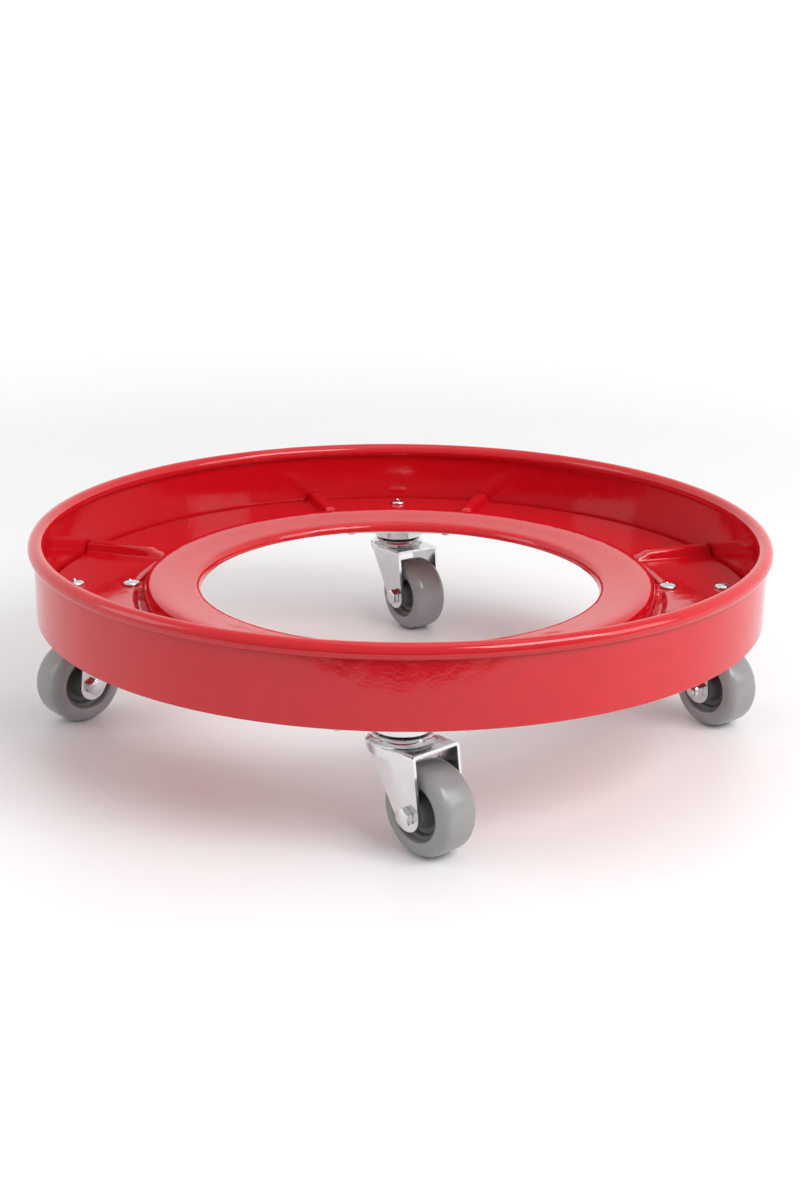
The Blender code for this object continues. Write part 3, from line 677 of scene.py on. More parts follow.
def make_deck():
    """The pressed deck: a spun cage, moved point by point, with live rounding and thickness."""
    profile = deck_profile()
    stations = [(quarter, angle) for quarter in range(4) for angle in deck_angles(RIB_ANGLES[quarter % 2])]
    mark = 0.01
    form = bmesh.new()
    points = [form.verts.new((row[0], 0, mark * index)) for index, row in enumerate(profile)]
    edges = [form.edges.new(pair) for pair in zip(points, points[1:])]
    bmesh.ops.spin(form, geom=points + edges, cent=(0, 0, 0), axis=(0, 0, 1), angle=math.tau,
                   steps=len(stations), use_merge=True)
    for vert in form.verts:
        radius, height, kind = profile[round(vert.co.z / mark)]
        spoke = round(math.atan2(vert.co.y, vert.co.x) / math.tau * len(stations)) % len(stations)
        quarter, angle = stations[spoke]
        height += pressed(kind, angle, RIB_ANGLES[quarter % 2], radius)
        turn = math.radians(quarter * QUARTER + angle)
        vert.co = (radius * math.cos(turn), radius * math.sin(turn), PAD_TOP + height)
    bmesh.ops.recalc_face_normals(form, faces=form.faces)
    crown = max(form.faces, key=lambda face: face.calc_center_median().z)
    if crown.normal.z < 0:
        bmesh.ops.reverse_faces(form, faces=form.faces)
    piece = finished(form, "pressed_deck", RED_COAT, "root", ["deck"])
    piece.data.set_sharp_from_angle(angle=math.pi)
    rounding = piece.modifiers.new("die rounding", "SUBSURF")
    rounding.levels = DIE_ROUNDING
    rounding.render_levels = DIE_ROUNDING
    wall = piece.modifiers.new("sheet", "SOLIDIFY")
    wall.thickness = SHEET
    wall.offset = -1
    wall.use_even_offset = False
    return piece


deck = make_deck()
print("deck cage:", len(deck.data.polygons), "faces")

# %% [markdown]
# ## Screws on the pads
#
# Two pan-head screws hold each caster.  A head is a low dome, spun from a profile, with a cross
# recess cut into it by two crossed wedges.  The recess catches the light, which makes the small
# heads read as screws.

# %% Pad screws
SCREW_SIZE = 0.0030
SCREW_HEAD_RADIUS = 0.00775
RECESS_WIDTH = 0.0013
RECESS_REACH = 0.0034
RECESS_DEPTH = 0.0019
RECESS_TAPER = (0.45, 0.7)
RECESS_TURNS = (20, 110)
HEAD_SIDE_SHARE = 0.22
HEAD_TURNS = (30, 42, 54, 66, 76, 84, 89)
SEAT_GAP = 0.0002
SCREW_POINT = 0.0006


def screw_form(low, top):
    """A pan head on a plain shank, from its lowest to its highest point."""
    seat = PAD_TOP + SEAT_GAP
    rise = top - seat
    section = [(0, top), (SCREW_HEAD_RADIUS * 0.30, top - rise * 0.01)]
    for turn in HEAD_TURNS:
        share = HEAD_SIDE_SHARE + (1 - HEAD_SIDE_SHARE) * math.cos(math.radians(turn)) ** 0.8
        section.append((SCREW_HEAD_RADIUS * math.sin(math.radians(turn)), seat + rise * share))
    section += [(SCREW_HEAD_RADIUS, seat + rise * 0.12), (SCREW_HEAD_RADIUS - SEAT_GAP, seat),
                (SCREW_SIZE, seat), (SCREW_SIZE, low + SCREW_POINT),
                (SCREW_SIZE - SCREW_POINT, low), (0, low)]
    return lathe(section, 48)


def recess_wedge(top, turn):
    """One bar of the cross, narrower and shorter at its bottom."""
    wedge = block((-RECESS_REACH, -RECESS_WIDTH / 2, top - RECESS_DEPTH),
                  (RECESS_REACH, RECESS_WIDTH / 2, top + 0.001))
    for vert in wedge.verts:
        if vert.co.z < top:
            vert.co.x *= RECESS_TAPER[0]
            vert.co.y *= RECESS_TAPER[1]
    return turned(wedge, Matrix.Rotation(math.radians(turn), 4, "Z"))


def make_screw(name, place):
    node = "pad_screw_" + name + "_" + place
    low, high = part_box(node)
    centre = (low + high) / 2
    cross = [recess_wedge(high.z, turn) for turn in RECESS_TURNS]
    form = combined(screw_form(low.z, high.z), cross, "DIFFERENCE")
    return finished(form, "cross_screw_" + name + "_" + place, FASTENER_ZINC, "root", [node],
                    Matrix.Translation((centre.x, centre.y, 0)))


for name in CASTERS:
    for place in ("inner", "outer"):
        make_screw(name, place)
print("screws: 8, heads", round(SCREW_HEAD_RADIUS * 2, 4), "across")

# %% [markdown]
# ## Plates, saddles and rivets
#
# Under each pad a hat-shaped saddle carries the caster's top plate.  Four domed rivets join the
# plate to the saddle's feet, and a weld nut takes each screw.  These sizes are shared by all the
# pieces of the mounting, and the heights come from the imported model.

# %% Mounting sizes
PLATE_SHEET = 0.0030
PLATE_CORNER = 0.008
RACE_RADIUS = 0.0235
RACE_WALL = 0.0025
RACE_TRACK = 0.0046
UPPER_BALL_CIRCLE = 0.0165
LOWER_BALL_CIRCLE = 0.0110
BALL_GAP = 0.0004
SADDLE_WEB = 0.070
SADDLE_LEAN = 0.0025
SADDLE_TONGUE = 0.0180
RIVET_SPOTS = [(x, y) for x in (-0.020, 0.020) for y in (-0.047, 0.047)]
RIVET_HEAD_RADIUS = 0.0059
RIVET_HEAD = 0.0048
RIVET_RADIUS = 0.003
RIVET_FLAT = 0.0018
SCREW_SPOTS = [(-0.024, 0), (0.024, 0)]
WELD_NUT = 0.0050
WELD_NUT_FLATS = 0.0100
GAP = 0.0003

plate_low, plate_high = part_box("top_plate_right")
PLATE_TOP = plate_high.z
PLATE_BOTTOM = PLATE_TOP - PLATE_SHEET
PLATE_HALF = Vector((plate_high.x - CASTER_CIRCLE, plate_high.y))
RACE_LOW = plate_low.z
TRACK_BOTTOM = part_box("upper_balls_right")[1].z + BALL_GAP
saddle_low, saddle_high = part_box("saddle_right")
SADDLE_IN = saddle_low.x - CASTER_CIRCLE
SADDLE_OUT = saddle_high.x - CASTER_CIRCLE
SADDLE_TOP = saddle_high.z
FOOT_TOP = PLATE_TOP + GAP + SHEET
print("plate top at", round(PLATE_TOP, 4), "saddle top at", round(SADDLE_TOP, 4))

# %% [markdown]
# The plate is a slab with round corners.  Its upper race is a collar drawn down out of it, with a
# track for the balls, and it is spun as a ring of its own that meets the slab.

# %% Top plate
def top_plate_form():
    """The plate and its upper race."""
    x = PLATE_HALF.x - PLATE_CORNER
    y = PLATE_HALF.y - PLATE_CORNER
    outline = []
    for corner, start in (((x, y), 0), ((-x, y), 90), ((-x, -y), 180), ((x, -y), 270)):
        outline += arc(corner, PLATE_CORNER, start, start + 90, 8)
    form = soften(slab(outline, PLATE_BOTTOM, PLATE_TOP), 60, 0.0005)
    inside = RACE_RADIUS - RACE_WALL
    lip = 0.0006
    track = UPPER_BALL_CIRCLE - RACE_TRACK
    collar = [(track, PLATE_BOTTOM + PLATE_SHEET / 2), (track, TRACK_BOTTOM), (inside, TRACK_BOTTOM),
              (inside, RACE_LOW + lip), (inside + lip, RACE_LOW),
              (RACE_RADIUS - lip, RACE_LOW), (RACE_RADIUS, RACE_LOW + lip),
              (RACE_RADIUS, PLATE_BOTTOM - 0.0012),
              (RACE_RADIUS + 0.0012, PLATE_BOTTOM), (RACE_RADIUS + 0.0012, PLATE_BOTTOM + PLATE_SHEET / 2)]
    return merged([form, lathe(collar, 72, closed=True)])


print("race collar:", round(RACE_RADIUS * 2, 4), "across")

# %% [markdown]
# A rivet is turned, with a dome under the plate and a flat head on the saddle's foot.  A weld nut
# is a hexagonal column with a bore, its edges a little rounded.

# %% Rivets and weld nuts
def rivet_form():
    """One rivet, from its flat head down to its dome."""
    low = PLATE_BOTTOM - GAP / 3
    dome = [(RIVET_HEAD_RADIUS * math.cos(math.radians(turn)),
             low - RIVET_HEAD * math.sin(math.radians(turn)))
            for turn in (0, 12, 24, 36, 48, 60, 72, 82, 90)]
    flat = RIVET_HEAD_RADIUS * 0.85
    crown = FOOT_TOP + RIVET_FLAT
    head = [(0, crown), (flat - 0.0007, crown), (flat, crown - 0.0007), (flat, FOOT_TOP),
            (RIVET_RADIUS, FOOT_TOP), (RIVET_RADIUS, low)]
    return lathe(head + dome, 32)


def weld_nut_form():
    """A hexagon under the saddle's web, bored for the screw."""
    top = SADDLE_TOP - SHEET
    low = top - WELD_NUT
    form = column(WELD_NUT_FLATS / math.sqrt(3), low, top, sides=6)
    bore = column(SCREW_SIZE + 0.0001, low - 0.001, top + 0.001, sides=24)
    return combined(soften(form, 50, 0.0005), [bore], "DIFFERENCE")


print("rivet head:", round(RIVET_HEAD_RADIUS * 2, 4), "weld nut:", WELD_NUT_FLATS, "across flats")

# %% [markdown]
# The saddle is a hat section: its open line is extruded along one direction and given the
# thickness of the sheet.  Near the ring it is cut back to a tongue, which clears the deck's bend.

# %% Saddle
def saddle_form():
    """A hat section swept towards the middle of the tray, with a tongue under the inner screw."""
    half_web = SADDLE_WEB / 2
    half = [(half_web, SADDLE_TOP), (half_web + SADDLE_LEAN, FOOT_TOP), (PLATE_HALF.y, FOOT_TOP)]
    section = [(-y, z) for y, z in reversed(half)] + half
    form = bmesh.new()
    points = [form.verts.new((SADDLE_IN, y, z)) for y, z in section]
    edges = [form.edges.new(pair) for pair in zip(points, points[1:])]
    swept = bmesh.ops.extrude_edge_only(form, edges=edges)
    far = [item for item in swept["geom"] if isinstance(item, bmesh.types.BMVert)]
    bmesh.ops.translate(form, verts=far, vec=(SADDLE_OUT - SADDLE_IN, 0, 0))
    form.faces.ensure_lookup_table()
    if form.faces[0].normal.z < 0:
        bmesh.ops.reverse_faces(form, faces=form.faces)
    bmesh.ops.solidify(form, geom=form.faces[:], thickness=SHEET)
    top = max(vert.co.z for vert in form.verts)
    bmesh.ops.translate(form, verts=form.verts, vec=(0, 0, SADDLE_TOP - top))
    shoulder = PAD_EDGE + SHEET + 0.0015 - CASTER_CIRCLE
    tongue = SADDLE_TONGUE / 2
    beyond = 0.01
    wide = 0.08
    cutters = [block((SADDLE_IN - beyond, tongue, PLATE_TOP - beyond), (shoulder, wide, SADDLE_TOP + beyond)),
               block((SADDLE_IN - beyond, -wide, PLATE_TOP - beyond), (shoulder, -tongue, SADDLE_TOP + beyond))]
    return soften(combined(form, cutters, "DIFFERENCE"), 50, 0.0004)


print("saddle web:", SADDLE_WEB, "tongue:", SADDLE_TONGUE)

# %% [markdown]
# Every caster gets the same four kinds of piece, made about the swivel axis and then placed.

# %% Mountings
def make_mounting(name):
    """A caster's top plate, saddle, rivets and weld nuts."""
    fixed = PLACES[name]["fixed"]
    finished(top_plate_form(), "caster_plate_" + name, BRIGHT_ZINC, "root",
             ["top_plate_" + name], fixed)
    finished(saddle_form(), "hat_saddle_" + name, BRIGHT_ZINC, "root",
             ["saddle_" + name], fixed)
    rivets = [turned(rivet_form(), Matrix.Translation((x, y, 0))) for x, y in RIVET_SPOTS]
    finished(merged(rivets), "plate_rivets_" + name, FASTENER_ZINC, "root", place=fixed)
    nuts = [turned(weld_nut_form(), Matrix.Translation((x, y, 0))) for x, y in SCREW_SPOTS]
    finished(merged(nuts), "weld_nuts_" + name, FASTENER_ZINC, "root", place=fixed)


for name in CASTERS:
    make_mounting(name)
print("mountings:", len(CASTERS))

# %% [markdown]
# ## Ball races and kingpin
#
# A double-race caster turns on two rings of balls, one over the fork and one under it.  The balls
# are spheres set round a circle, on a thin ring that keeps them apart.

# %% Balls
CAGE_WIRE = 0.0007
BALL_COUNTS = {"upper": (UPPER_BALL_CIRCLE, 8), "lower": (LOWER_BALL_CIRCLE, 6)}


def balls_form(node, circle, count):
    """Smooth balls in a thin wire cage, at the height of the node that they stand for."""
    low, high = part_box(node)
    radius = (high.z - low.z) / 2
    height = (high.z + low.z) / 2
    wire = arc((circle, height), CAGE_WIRE, 0, 315, 7)
    forms = [lathe(wire, 48, closed=True)]
    for i in range(count):
        ball = bmesh.new()
        bmesh.ops.create_uvsphere(ball, u_segments=20, v_segments=12, radius=radius)
        turn = Matrix.Rotation(math.tau * i / count, 4, "Z")
        forms.append(turned(ball, turn @ Matrix.Translation((circle, 0, height))))
    return merged(forms)


print("balls in a caster:", sum(count for circle, count in BALL_COUNTS.values()))

# %% [markdown]
# The kingpin goes down through the plate, the fork and the lower race, and its end is peened
# over.  The lower race is a turned cup.  Both are spun from a section.

# %% Kingpin and lower race
KINGPIN_RADIUS = 0.0050


def kingpin_form(name):
    """A shouldered pin: a round head over the plate and a peened end under the lower race."""
    low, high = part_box("kingpin_" + name)
    wide = (high.y - low.y) / 2
    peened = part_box("lower_race_" + name)[0].z - GAP
    under = PLATE_TOP + GAP
    section = [(0, high.z), (wide * 0.55, high.z - 0.0001), (wide * 0.85, high.z - 0.0007),
               (wide * 0.97, high.z - 0.0018),
               (wide, under), (KINGPIN_RADIUS, under), (KINGPIN_RADIUS, peened), (wide, peened),
               (wide * 0.94, peened - 0.0009), (wide * 0.72, peened - 0.0019),
               (wide * 0.4, low.z), (0, low.z)]
    return lathe(section, 48)


def lower_race_form(name):
    """A thin cup, open at the top, with a bore for the kingpin."""
    low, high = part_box("lower_race_" + name)
    outside = (high.y - low.y) / 2
    bore = KINGPIN_RADIUS + GAP
    floor = low.z + SHEET
    inside = outside - SHEET
    fillet = 0.0012
    bend = 0.0018
    lip = 0.0006
    section = [(bore, low.z + 0.0004), (bore, floor)]
    section += arc((inside - fillet, floor + fillet), fillet, -90, 0, 4)
    section += [(inside, high.z - 0.0004), (inside + lip, high.z),
                (outside - lip, high.z), (outside, high.z - lip)]
    section += arc((outside - bend, low.z + bend), bend, 0, -90, 5)
    return lathe(section, 64, closed=True)


def make_races(name):
    """A caster's kingpin, lower race and two rings of balls."""
    fixed = PLACES[name]["fixed"]
    finished(kingpin_form(name), "peened_kingpin_" + name, PLAIN_STEEL, "root",
             ["kingpin_" + name], fixed)
    finished(lower_race_form(name), "lower_race_cup_" + name, PLAIN_STEEL, "root",
             ["lower_race_" + name], fixed)
    for level, (circle, count) in BALL_COUNTS.items():
        node = level + "_balls_" + name
        finished(balls_form(node, circle, count), level + "_ball_ring_" + name, PLAIN_STEEL,
                 "race_balls_" + name, [node], PLACES[name]["turning"])


for name in CASTERS:
    make_races(name)
print("races:", len(CASTERS), "pairs")

# %% [markdown]
# ## The fork
#
# The fork is pressed from sheet steel: a roof with a raised seat for the balls, round shoulders,
# and two legs that taper back down to the axle.  These are its sizes, and its shape from the side.

# %% Fork sizes
FORK_SHEET = 0.0025
FORK_WIDTH = 0.046
SEAT_RADIUS = 0.0228
SEAT_SLOPE = 0.0022
SEAT_EDGE = 0.0018
SEAT_RISE = 0.0050
SKIRT_DEPTH = 0.0095
SHOULDER_BEND = 0.0030
INNER_BEND = 0.0012
FORK_EDGE = 0.0004
LEVEL = 0.0001
LEG_FRONT = 0.0055
LEG_END_RADIUS = 0.0120
AXLE_RADIUS = 0.0040
ON_ITS_SIDE = Matrix.Rotation(math.radians(90), 4, "X")

SEAT_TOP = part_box("fork_front")[1].z
ROOF_TOP = SEAT_TOP - SEAT_RISE
ROOF_BOTTOM = ROOF_TOP - FORK_SHEET


def leg_outline():
    """A leg from the side: from the roof's front, round the axle, and back up to the skirt."""
    skirt = ROOF_TOP - SKIRT_DEPTH
    outline = [(TRAIL + LEG_FRONT, ROOF_TOP)]
    outline += arc((TRAIL, AXLE_HEIGHT), LEG_END_RADIUS, 5, -147, 24)
    outline += [(-SEAT_RADIUS * 0.4, skirt), (-SEAT_RADIUS * 0.62, skirt + 0.003),
                (-SEAT_RADIUS * 0.7, ROOF_TOP)]
    return outline


print("fork roof at", round(ROOF_TOP, 4), "seat at", round(SEAT_TOP, 4))

# %% [markdown]
# The fork is built solid and rounded first, from three shapes: the leg shape at full width with
# its long roof edges rounded, a drum with a round shoulder, and the turned dome of the seat.

# %% Fork shapes
def round_roof(form, roof, bend, segments):
    """Round the two long edges of a form's roof."""
    edges = [edge for edge in form.edges
             if all(vert.co.z > roof - LEVEL for vert in edge.verts)
             and abs(edge.verts[0].co.y - edge.verts[1].co.y) < LEVEL]
    bmesh.ops.bevel(form, geom=edges, offset=bend, affect="EDGES", segments=segments, profile=0.5,
                    material=-1)
    return form


def drum(radius, low, high, bend):
    """A turned drum with a round shoulder."""
    section = [(0, high)] + arc((radius - bend, high - bend), bend, 90, 0, 6) + [(radius, low), (0, low)]
    return lathe(section, 96)


def seat_dome(top, radius, foot, low):
    """The raised seat: a flat top, a round edge, and a flank that flares out into the roof."""
    foot_radius = radius + SEAT_SLOPE * 1.3
    section = [(0, top)] + arc((radius - SEAT_EDGE, top - SEAT_EDGE), SEAT_EDGE, 90, 8, 6)
    section += [(radius + SEAT_SLOPE * 0.35, top - (top - foot) * 0.62),
                (radius + SEAT_SLOPE * 0.72, foot + 0.0012),
                (foot_radius, foot), (foot_radius, low), (0, low)]
    return lathe(section, 96)


print("fork shapes: rounded roof, drum and seat dome")

# %% [markdown]
# The three shapes are joined, and the fork is hollowed by the same shapes made one sheet thickness
# smaller, so that its wall is even.  A live bevel softens the edges last, which gives the bright
# lines that thin plated edges have.

# %% Fork
def fork_form():
    """The pressed fork about its swivel axis, trailing along X."""
    half = FORK_WIDTH / 2
    base = SEAT_RADIUS + SEAT_SLOPE
    skirt = ROOF_TOP - SKIRT_DEPTH
    legs = turned(slab(leg_outline(), -half, half), ON_ITS_SIDE)
    form = round_roof(legs, ROOF_TOP, SHOULDER_BEND, 6)
    form = combined(form, [drum(base + GAP, skirt, ROOF_TOP, SHOULDER_BEND)], "UNION")
    form = combined(form, [seat_dome(SEAT_TOP, SEAT_RADIUS, ROOF_TOP, ROOF_TOP - 0.0011)], "UNION")
    inside = half - FORK_SHEET
    back = -SEAT_RADIUS / 2
    channel = block((back, -inside, -0.001), (TRAIL + 0.05, inside, ROOF_BOTTOM))
    cutters = [round_roof(channel, ROOF_BOTTOM, INNER_BEND, 4),
               drum(base - FORK_SHEET, skirt - FORK_SHEET, ROOF_BOTTOM, INNER_BEND),
               column(base - FORK_SHEET, ROOF_BOTTOM - FORK_SHEET, SEAT_TOP - FORK_SHEET, 72,
                      SEAT_RADIUS - FORK_SHEET),
               column(KINGPIN_RADIUS + 0.001, ROOF_BOTTOM, SEAT_TOP + FORK_SHEET, 40),
               turned(column(AXLE_RADIUS + GAP, -FORK_WIDTH, FORK_WIDTH, 40),
                      Matrix.Translation((TRAIL, 0, AXLE_HEIGHT)) @ ON_ITS_SIDE)]
    form = combined(form, cutters, "DIFFERENCE")
    bmesh.ops.remove_doubles(form, verts=form.verts, dist=0.00002)
    bmesh.ops.dissolve_degenerate(form, edges=form.edges, dist=0.00002)
    return form


def make_fork(name):
    """A caster's fork, with softened edges.  It gives back how many faces the fork has."""
    piece = finished(fork_form(), "pressed_fork_" + name, BRIGHT_ZINC, "swivel_fork_" + name,
                     ["fork_" + name], PLACES[name]["turning"])
    edge = piece.modifiers.new("sheet edges", "BEVEL")
    edge.width = FORK_EDGE
    edge.segments = 2
    edge.limit_method = "ANGLE"
    edge.angle_limit = math.radians(50)
    return len(piece.data.polygons)


print("faces in each fork:", [make_fork(name) for name in CASTERS])

# %% [markdown]
# ## The axle
#
# A bolt clamps a sleeve between the legs, and the wheel turns on the sleeve.  A hexagon head is a
# six-sided prism met by a cone, which is how its chamfer is cut on a real one.  The axle is made
# upright, about Z, and then laid on its side in the fork.

# %% Axle
SLEEVE_WALL = 0.0030
HEAD_FLATS = 0.0130
SLEEVE_RADIUS = AXLE_RADIUS + GAP + SLEEVE_WALL
HEAD_SEAT = FORK_WIDTH / 2 + GAP / 3
HEAD_HEIGHT = 0.0052
NUT_HEIGHT = 0.0075
WASHER_FACE = 0.0006
BOLT_POINT = 0.0008


def chamfered_hexagon(flats, low, high, both=False):
    """A hexagon whose corners are turned off by a cone at its outer end, or at both ends."""
    corner = flats / math.sqrt(3)
    flat = flats / 2 * 0.97
    drop = (corner - flat) * 0.58
    section = [(0, high), (flat, high), (corner + 0.0002, high - drop)]
    section += [(corner + 0.0002, low + drop), (flat, low)] if both else [(corner + 0.0002, low)]
    section += [(0, low)]
    return combined(column(corner, low - 0.0001, high + 0.0001, sides=6), [lathe(section, 72)], "INTERSECT")


def axle_bolt_form():
    """A hexagon head on a round washer face, and a plain shank with a broken edge."""
    end = -HEAD_SEAT - NUT_HEIGHT - AXLE_RADIUS / 2
    under_head = HEAD_SEAT + WASHER_FACE
    face = HEAD_FLATS / 2 * 0.98
    head = chamfered_hexagon(HEAD_FLATS, under_head, HEAD_SEAT + HEAD_HEIGHT)
    collar = [(0, HEAD_SEAT), (face, HEAD_SEAT), (face, under_head), (0, under_head)]
    shank = [(0, HEAD_SEAT), (AXLE_RADIUS, HEAD_SEAT), (AXLE_RADIUS, end + BOLT_POINT),
             (AXLE_RADIUS - BOLT_POINT, end), (0, end)]
    return merged([head, lathe(collar, 48), lathe(shank, 48)])


def axle_nut_form():
    """A lock nut: a chamfered hexagon with a round collar that holds the locking ring."""
    near = -HEAD_SEAT
    far = near - NUT_HEIGHT
    body = chamfered_hexagon(HEAD_FLATS, far + 0.0022, near, both=True)
    bore = AXLE_RADIUS + 0.0001
    collar = [(bore, far + 0.0030), (bore, far + 0.0004), (bore + 0.0004, far), (HEAD_FLATS * 0.40, far),
              (HEAD_FLATS * 0.45, far + 0.0007), (HEAD_FLATS * 0.46, far + 0.0030)]
    return merged([body, lathe(collar, 48, closed=True)])


def ring_form(inside, outside, low, high, lip):
    """A plain sleeve with a broken outer edge at both ends."""
    section = [(inside, low), (inside, high), (outside - lip, high), (outside, high - lip),
               (outside, low + lip),
               (outside - lip, low)]
    return lathe(section, 48, closed=True)


print("axle:", AXLE_RADIUS * 2, "across, sleeve:", round(SLEEVE_RADIUS * 2, 4))

# %% [markdown]
# ## The wheel
#
# The wheel core is dished, with a hub that stands out of it, and the tyre is cast round it with
# round shoulders.  Both are the same on either side, so only half of each section is drawn.

# %% Wheel sections
tyre_low, tyre_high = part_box("tyre_front")
WHEEL_RADIUS = (tyre_high.z - tyre_low.z) / 2
WHEEL_WIDTH = 0.034
TREAD_DEPTH = 0.0132
CORE_RECESS = 0.0060
HUB_LENGTH = 0.0385
HUB_WALL = 0.0040
SHOULDER = 0.0085


def mirrored(half):
    """A half section and its mirror image, as one closed line."""
    return half + [(radius, -height) for radius, height in reversed(half)]


def tyre_form():
    """Flat sides, round shoulders and a tread with a slight crown."""
    inside = WHEEL_RADIUS - TREAD_DEPTH
    side = WHEEL_WIDTH / 2
    half = [(inside, side - 0.0022), (inside + 0.0004, side - 0.0010), (inside + 0.0014, side - 0.0003),
            (inside + 0.0030, side), (WHEEL_RADIUS - SHOULDER, side - 0.0001)]
    half += [(WHEEL_RADIUS - SHOULDER + SHOULDER * 0.955 * math.sin(math.radians(turn)),
              side - SHOULDER + (SHOULDER - 0.0001) * math.cos(math.radians(turn)))
             for turn in (9, 18, 28, 38, 48, 58, 68, 78, 87)]
    half += [(WHEEL_RADIUS - 0.00012, side * 0.26), (WHEEL_RADIUS, side * 0.06)]
    return lathe(mirrored(half), 128, closed=True)


def core_form():
    """Hub, dished web with a step, and a rim that the tyre is cast round."""
    bore = SLEEVE_RADIUS + GAP
    hub = HUB_LENGTH / 2
    rim = WHEEL_WIDTH / 2 - CORE_RECESS
    outside = WHEEL_RADIUS - TREAD_DEPTH - 0.0001
    half = [(bore, hub - 0.0004), (bore + 0.0004, hub), (bore + HUB_WALL * 0.6, hub),
            (bore + HUB_WALL * 0.85, hub - 0.0008)]
    half += [(bore + HUB_WALL, hub * 0.6), (bore + HUB_WALL * 1.15, rim * 0.72),
             (bore + HUB_WALL * 1.5, rim * 0.58), (bore + HUB_WALL * 1.9, rim * 0.58),
             (outside - 0.0042, rim * 0.66), (outside - 0.0034, rim * 0.92),
             (outside - 0.0024, rim), (outside, rim + 0.0004)]
    return lathe(mirrored(half), 96, closed=True)


print("wheel:", round(WHEEL_RADIUS * 2, 4), "across and", WHEEL_WIDTH, "wide")

# %% [markdown]
# The bolt, nut and sleeve turn with the fork, and the core and tyre turn with the wheel.

# %% Axles and wheels
def make_wheel(name):
    """A caster's axle bolt, nut, sleeve, wheel core and tyre."""
    axle = PLACES[name]["axle"]
    fork = "swivel_fork_" + name
    wheel = "wheel_" + name
    inside = FORK_WIDTH / 2 - FORK_SHEET - GAP
    sleeve = ring_form(AXLE_RADIUS + GAP, SLEEVE_RADIUS, -inside, inside, 0.0003)
    for form, label, finish, body, slot, node in (
            (axle_bolt_form(), "hexagon_axle_bolt_", FASTENER_ZINC, fork, "bright_zinc", "axle_bolt_"),
            (axle_nut_form(), "locking_axle_nut_", FASTENER_ZINC, fork, "bright_zinc", "axle_nut_"),
            (sleeve, "clamped_sleeve_", PLAIN_STEEL, fork, "plain_steel", "axle_sleeve_"),
            (core_form(), "dished_core_", CORE_GREY, wheel, "core_plastic", "wheel_core_"),
            (tyre_form(), "cast_tyre_", TYRE_GREY, wheel, "grey_polyurethane", "tyre_")):
        finished(form, label + name, finish, body, [node + name], axle)


for name in CASTERS:
    make_wheel(name)
print("wheels:", len(CASTERS))

# %% [markdown]
# ## Floor
#
# The dolly stands on a pale floor.  Painted shade makes the floor a little darker under and behind
# the dolly than further out, where a faint painted glow makes it run into the white room with no edge.
# In front of the camera's view it is painted dark, and the front of the rim reflects that dark edge.

# %% Floor
FLOOR_SIZE = 14.0
FLOOR_FRONT = -0.68
FLOOR_NEAR = 0.84
FLOOR_FAR = 1.0
SHADE_CENTRE = (0, 0.35, 0)
SHADE_REACH = (0.35, 1.7)
GLOW_REACH = (0.9, 3.5)
GLOW = 0.35


def ramp(finish, value, start, end, low=0, high=1):
    """A value that goes from low to high as another goes from start to end."""
    node = finish.node_tree.nodes.new("ShaderNodeMapRange")
    for label, number in (("From Min", start), ("From Max", end), ("To Min", low), ("To Max", high)):
        node.inputs[label].default_value = number
    finish.node_tree.links.new(value, node.inputs["Value"])
    return node


def make_floor():
    """One large face with a finish that changes with the distance from the dolly."""
    form = bmesh.new()
    bmesh.ops.create_grid(form, x_segments=1, y_segments=1, size=FLOOR_SIZE / 2)
    mesh = as_mesh(form, "floor")
    finish, shader, place = new_finish("pale studio floor")
    nodes = finish.node_tree.nodes
    links = finish.node_tree.links
    away = nodes.new("ShaderNodeVectorMath")
    away.operation = "DISTANCE"
    away.inputs[1].default_value = SHADE_CENTRE
    links.new(place, away.inputs[0])
    # Painted shade: the floor's colour goes from FLOOR_NEAR near and behind the dolly up to FLOOR_FAR further
    # out.
    painted_floor_shade = ramp(finish, away.outputs["Value"], *SHADE_REACH, FLOOR_NEAR, FLOOR_FAR)
    painted_floor_shade.interpolation_type = "SMOOTHSTEP"
    # Painted glow: far from the dolly the floor emits light of its own, so that it runs into the white room.
    glow = ramp(finish, away.outputs["Value"], *GLOW_REACH)
    links.new(glow.outputs["Result"], shader.inputs["Emission Color"])
    shader.inputs["Emission Strength"].default_value = GLOW
    split = nodes.new("ShaderNodeSeparateXYZ")
    links.new(place, split.inputs[0])
    # Painted dark strip: the floor in front of FLOOR_FRONT is painted near black, so that the front of the rim
    # reflects it as shade.
    painted_dark_strip = ramp(finish, split.outputs["Y"], FLOOR_FRONT - 0.02, FLOOR_FRONT)
    shade = nodes.new("ShaderNodeMath")
    shade.operation = "MULTIPLY"
    links.new(painted_floor_shade.outputs["Result"], shade.inputs[0])
    links.new(painted_dark_strip.outputs["Result"], shade.inputs[1])
    colour_between(finish, shader, shade.outputs[0], (0.02, 0.02, 0.02), (1.0, 1.0, 1.0))
    shader.inputs["Roughness"].default_value = 0.42
    shader.inputs["Specular IOR Level"].default_value = 0.25
    mesh.materials.append(finish)
    floor = bpy.data.objects.new("studio_floor", mesh)
    bpy.context.scene.collection.objects.link(floor)


make_floor()
print("floor:", FLOOR_SIZE, "square")

# %% [markdown]
# ## Light
#
# A wide soft light stands up in front to the right, weaker ones stand on both sides, and a faint
# one hangs overhead.  The room itself is bright above and behind the dolly and dimmer in front, so
# that the rim keeps a deep red where it faces the camera.  The world's colour is white, and its
# strength changes with the direction.

# %% Light
FRONT_TO_BACK = (-0.8, 0.3)
SIDE_TO_TOP = (0.35, 0.85)
MIDDLE = (0, 0, 0.1)


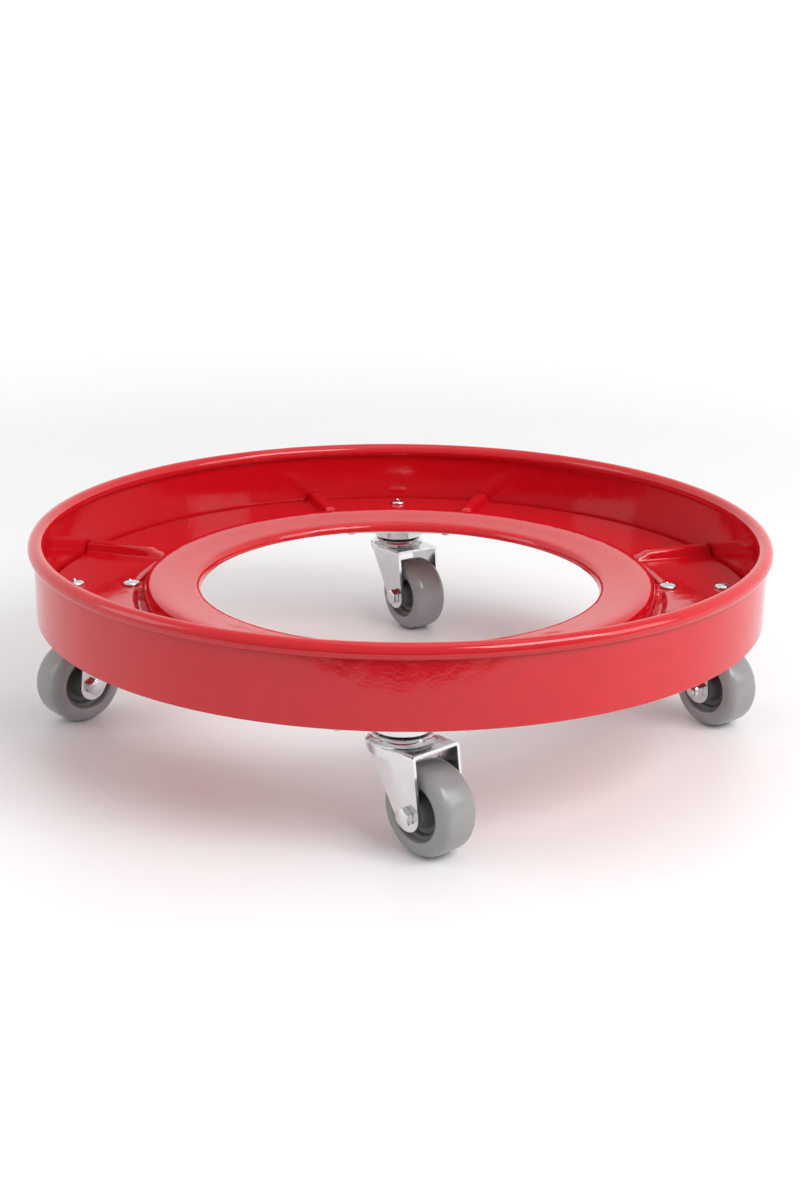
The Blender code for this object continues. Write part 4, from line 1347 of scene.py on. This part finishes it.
def soft_light(name, place, width, height, power):
    """A rectangular light that faces the middle of the dolly."""
    lamp = bpy.data.lights.new(name, "AREA")
    lamp.shape = "RECTANGLE"
    lamp.size = width
    lamp.size_y = height
    lamp.energy = power
    thing = bpy.data.objects.new(name, lamp)
    thing.location = place
    thing.rotation_euler = (Vector(MIDDLE) - Vector(place)).to_track_quat("-Z", "Y").to_euler()
    bpy.context.scene.collection.objects.link(thing)


def make_world(front, top, back):
    """Brightness of the room by direction: front is towards the camera, back is behind the dolly."""
    world = bpy.data.worlds.new("studio")
    world.use_nodes = True
    bpy.context.scene.world = world
    nodes = world.node_tree.nodes
    links = world.node_tree.links
    shade = nodes["Background"]
    shade.inputs["Color"].default_value = (1, 1, 1, 1)
    place = nodes.new("ShaderNodeTexCoord")
    split = nodes.new("ShaderNodeSeparateXYZ")
    links.new(place.outputs["Generated"], split.inputs[0])
    along = ramp(world, split.outputs["Y"], *FRONT_TO_BACK, front, back)
    up = ramp(world, split.outputs["Z"], *SIDE_TO_TOP)
    mix = nodes.new("ShaderNodeMix")
    mix.inputs["B"].default_value = top
    links.new(up.outputs["Result"], mix.inputs["Factor"])
    links.new(along.outputs["Result"], mix.inputs["A"])
    links.new(mix.outputs["Result"], shade.inputs["Strength"])


make_world(front=0.55, top=0.70, back=1.05)
soft_light("overhead", (0.2, 0.1, 2.2), width=1.6, height=1.2, power=4)
soft_light("upper_front", (1.3, -1.3, 1.8), width=1.5, height=1.0, power=32)
soft_light("left_side", (-1.9, -0.3, 1.0), width=0.9, height=1.1, power=5)
soft_light("right_side", (1.9, -0.7, 1.1), width=0.9, height=1.1, power=9)
print("lights:", len(bpy.data.lights))

# %% [markdown]
# ## Camera
#
# The camera looks down on the dolly at about eighteen degrees, from a metre and a half away.

# %% Camera
CAMERA_DISTANCE = 1.4006
CAMERA_HEIGHT = 0.557
CAMERA_PITCH = 18.0
CAMERA_ROLL = 0.5
CAMERA_BEARING = 0.6
CAMERA_LENS = 51.0
SENSOR_WIDTH = 36


def make_camera():
    camera = bpy.data.cameras.new("studio_camera")
    camera.lens = CAMERA_LENS
    camera.sensor_width = SENSOR_WIDTH
    thing = bpy.data.objects.new("studio_camera", camera)
    turn = Matrix.Rotation(math.radians(-CAMERA_BEARING), 4, "Z")
    stand = Matrix.Translation((0, -CAMERA_DISTANCE, CAMERA_HEIGHT))
    tilt = Matrix.Rotation(math.radians(90 - CAMERA_PITCH), 4, "X")
    roll = Matrix.Rotation(math.radians(CAMERA_ROLL), 4, "Z")
    thing.matrix_world = turn @ stand @ tilt @ roll
    bpy.context.scene.collection.objects.link(thing)
    bpy.context.scene.camera = thing


make_camera()
bpy.context.scene.view_settings.view_transform = "Standard"
print("camera:", CAMERA_LENS, "mm lens,", CAMERA_DISTANCE, "m away")
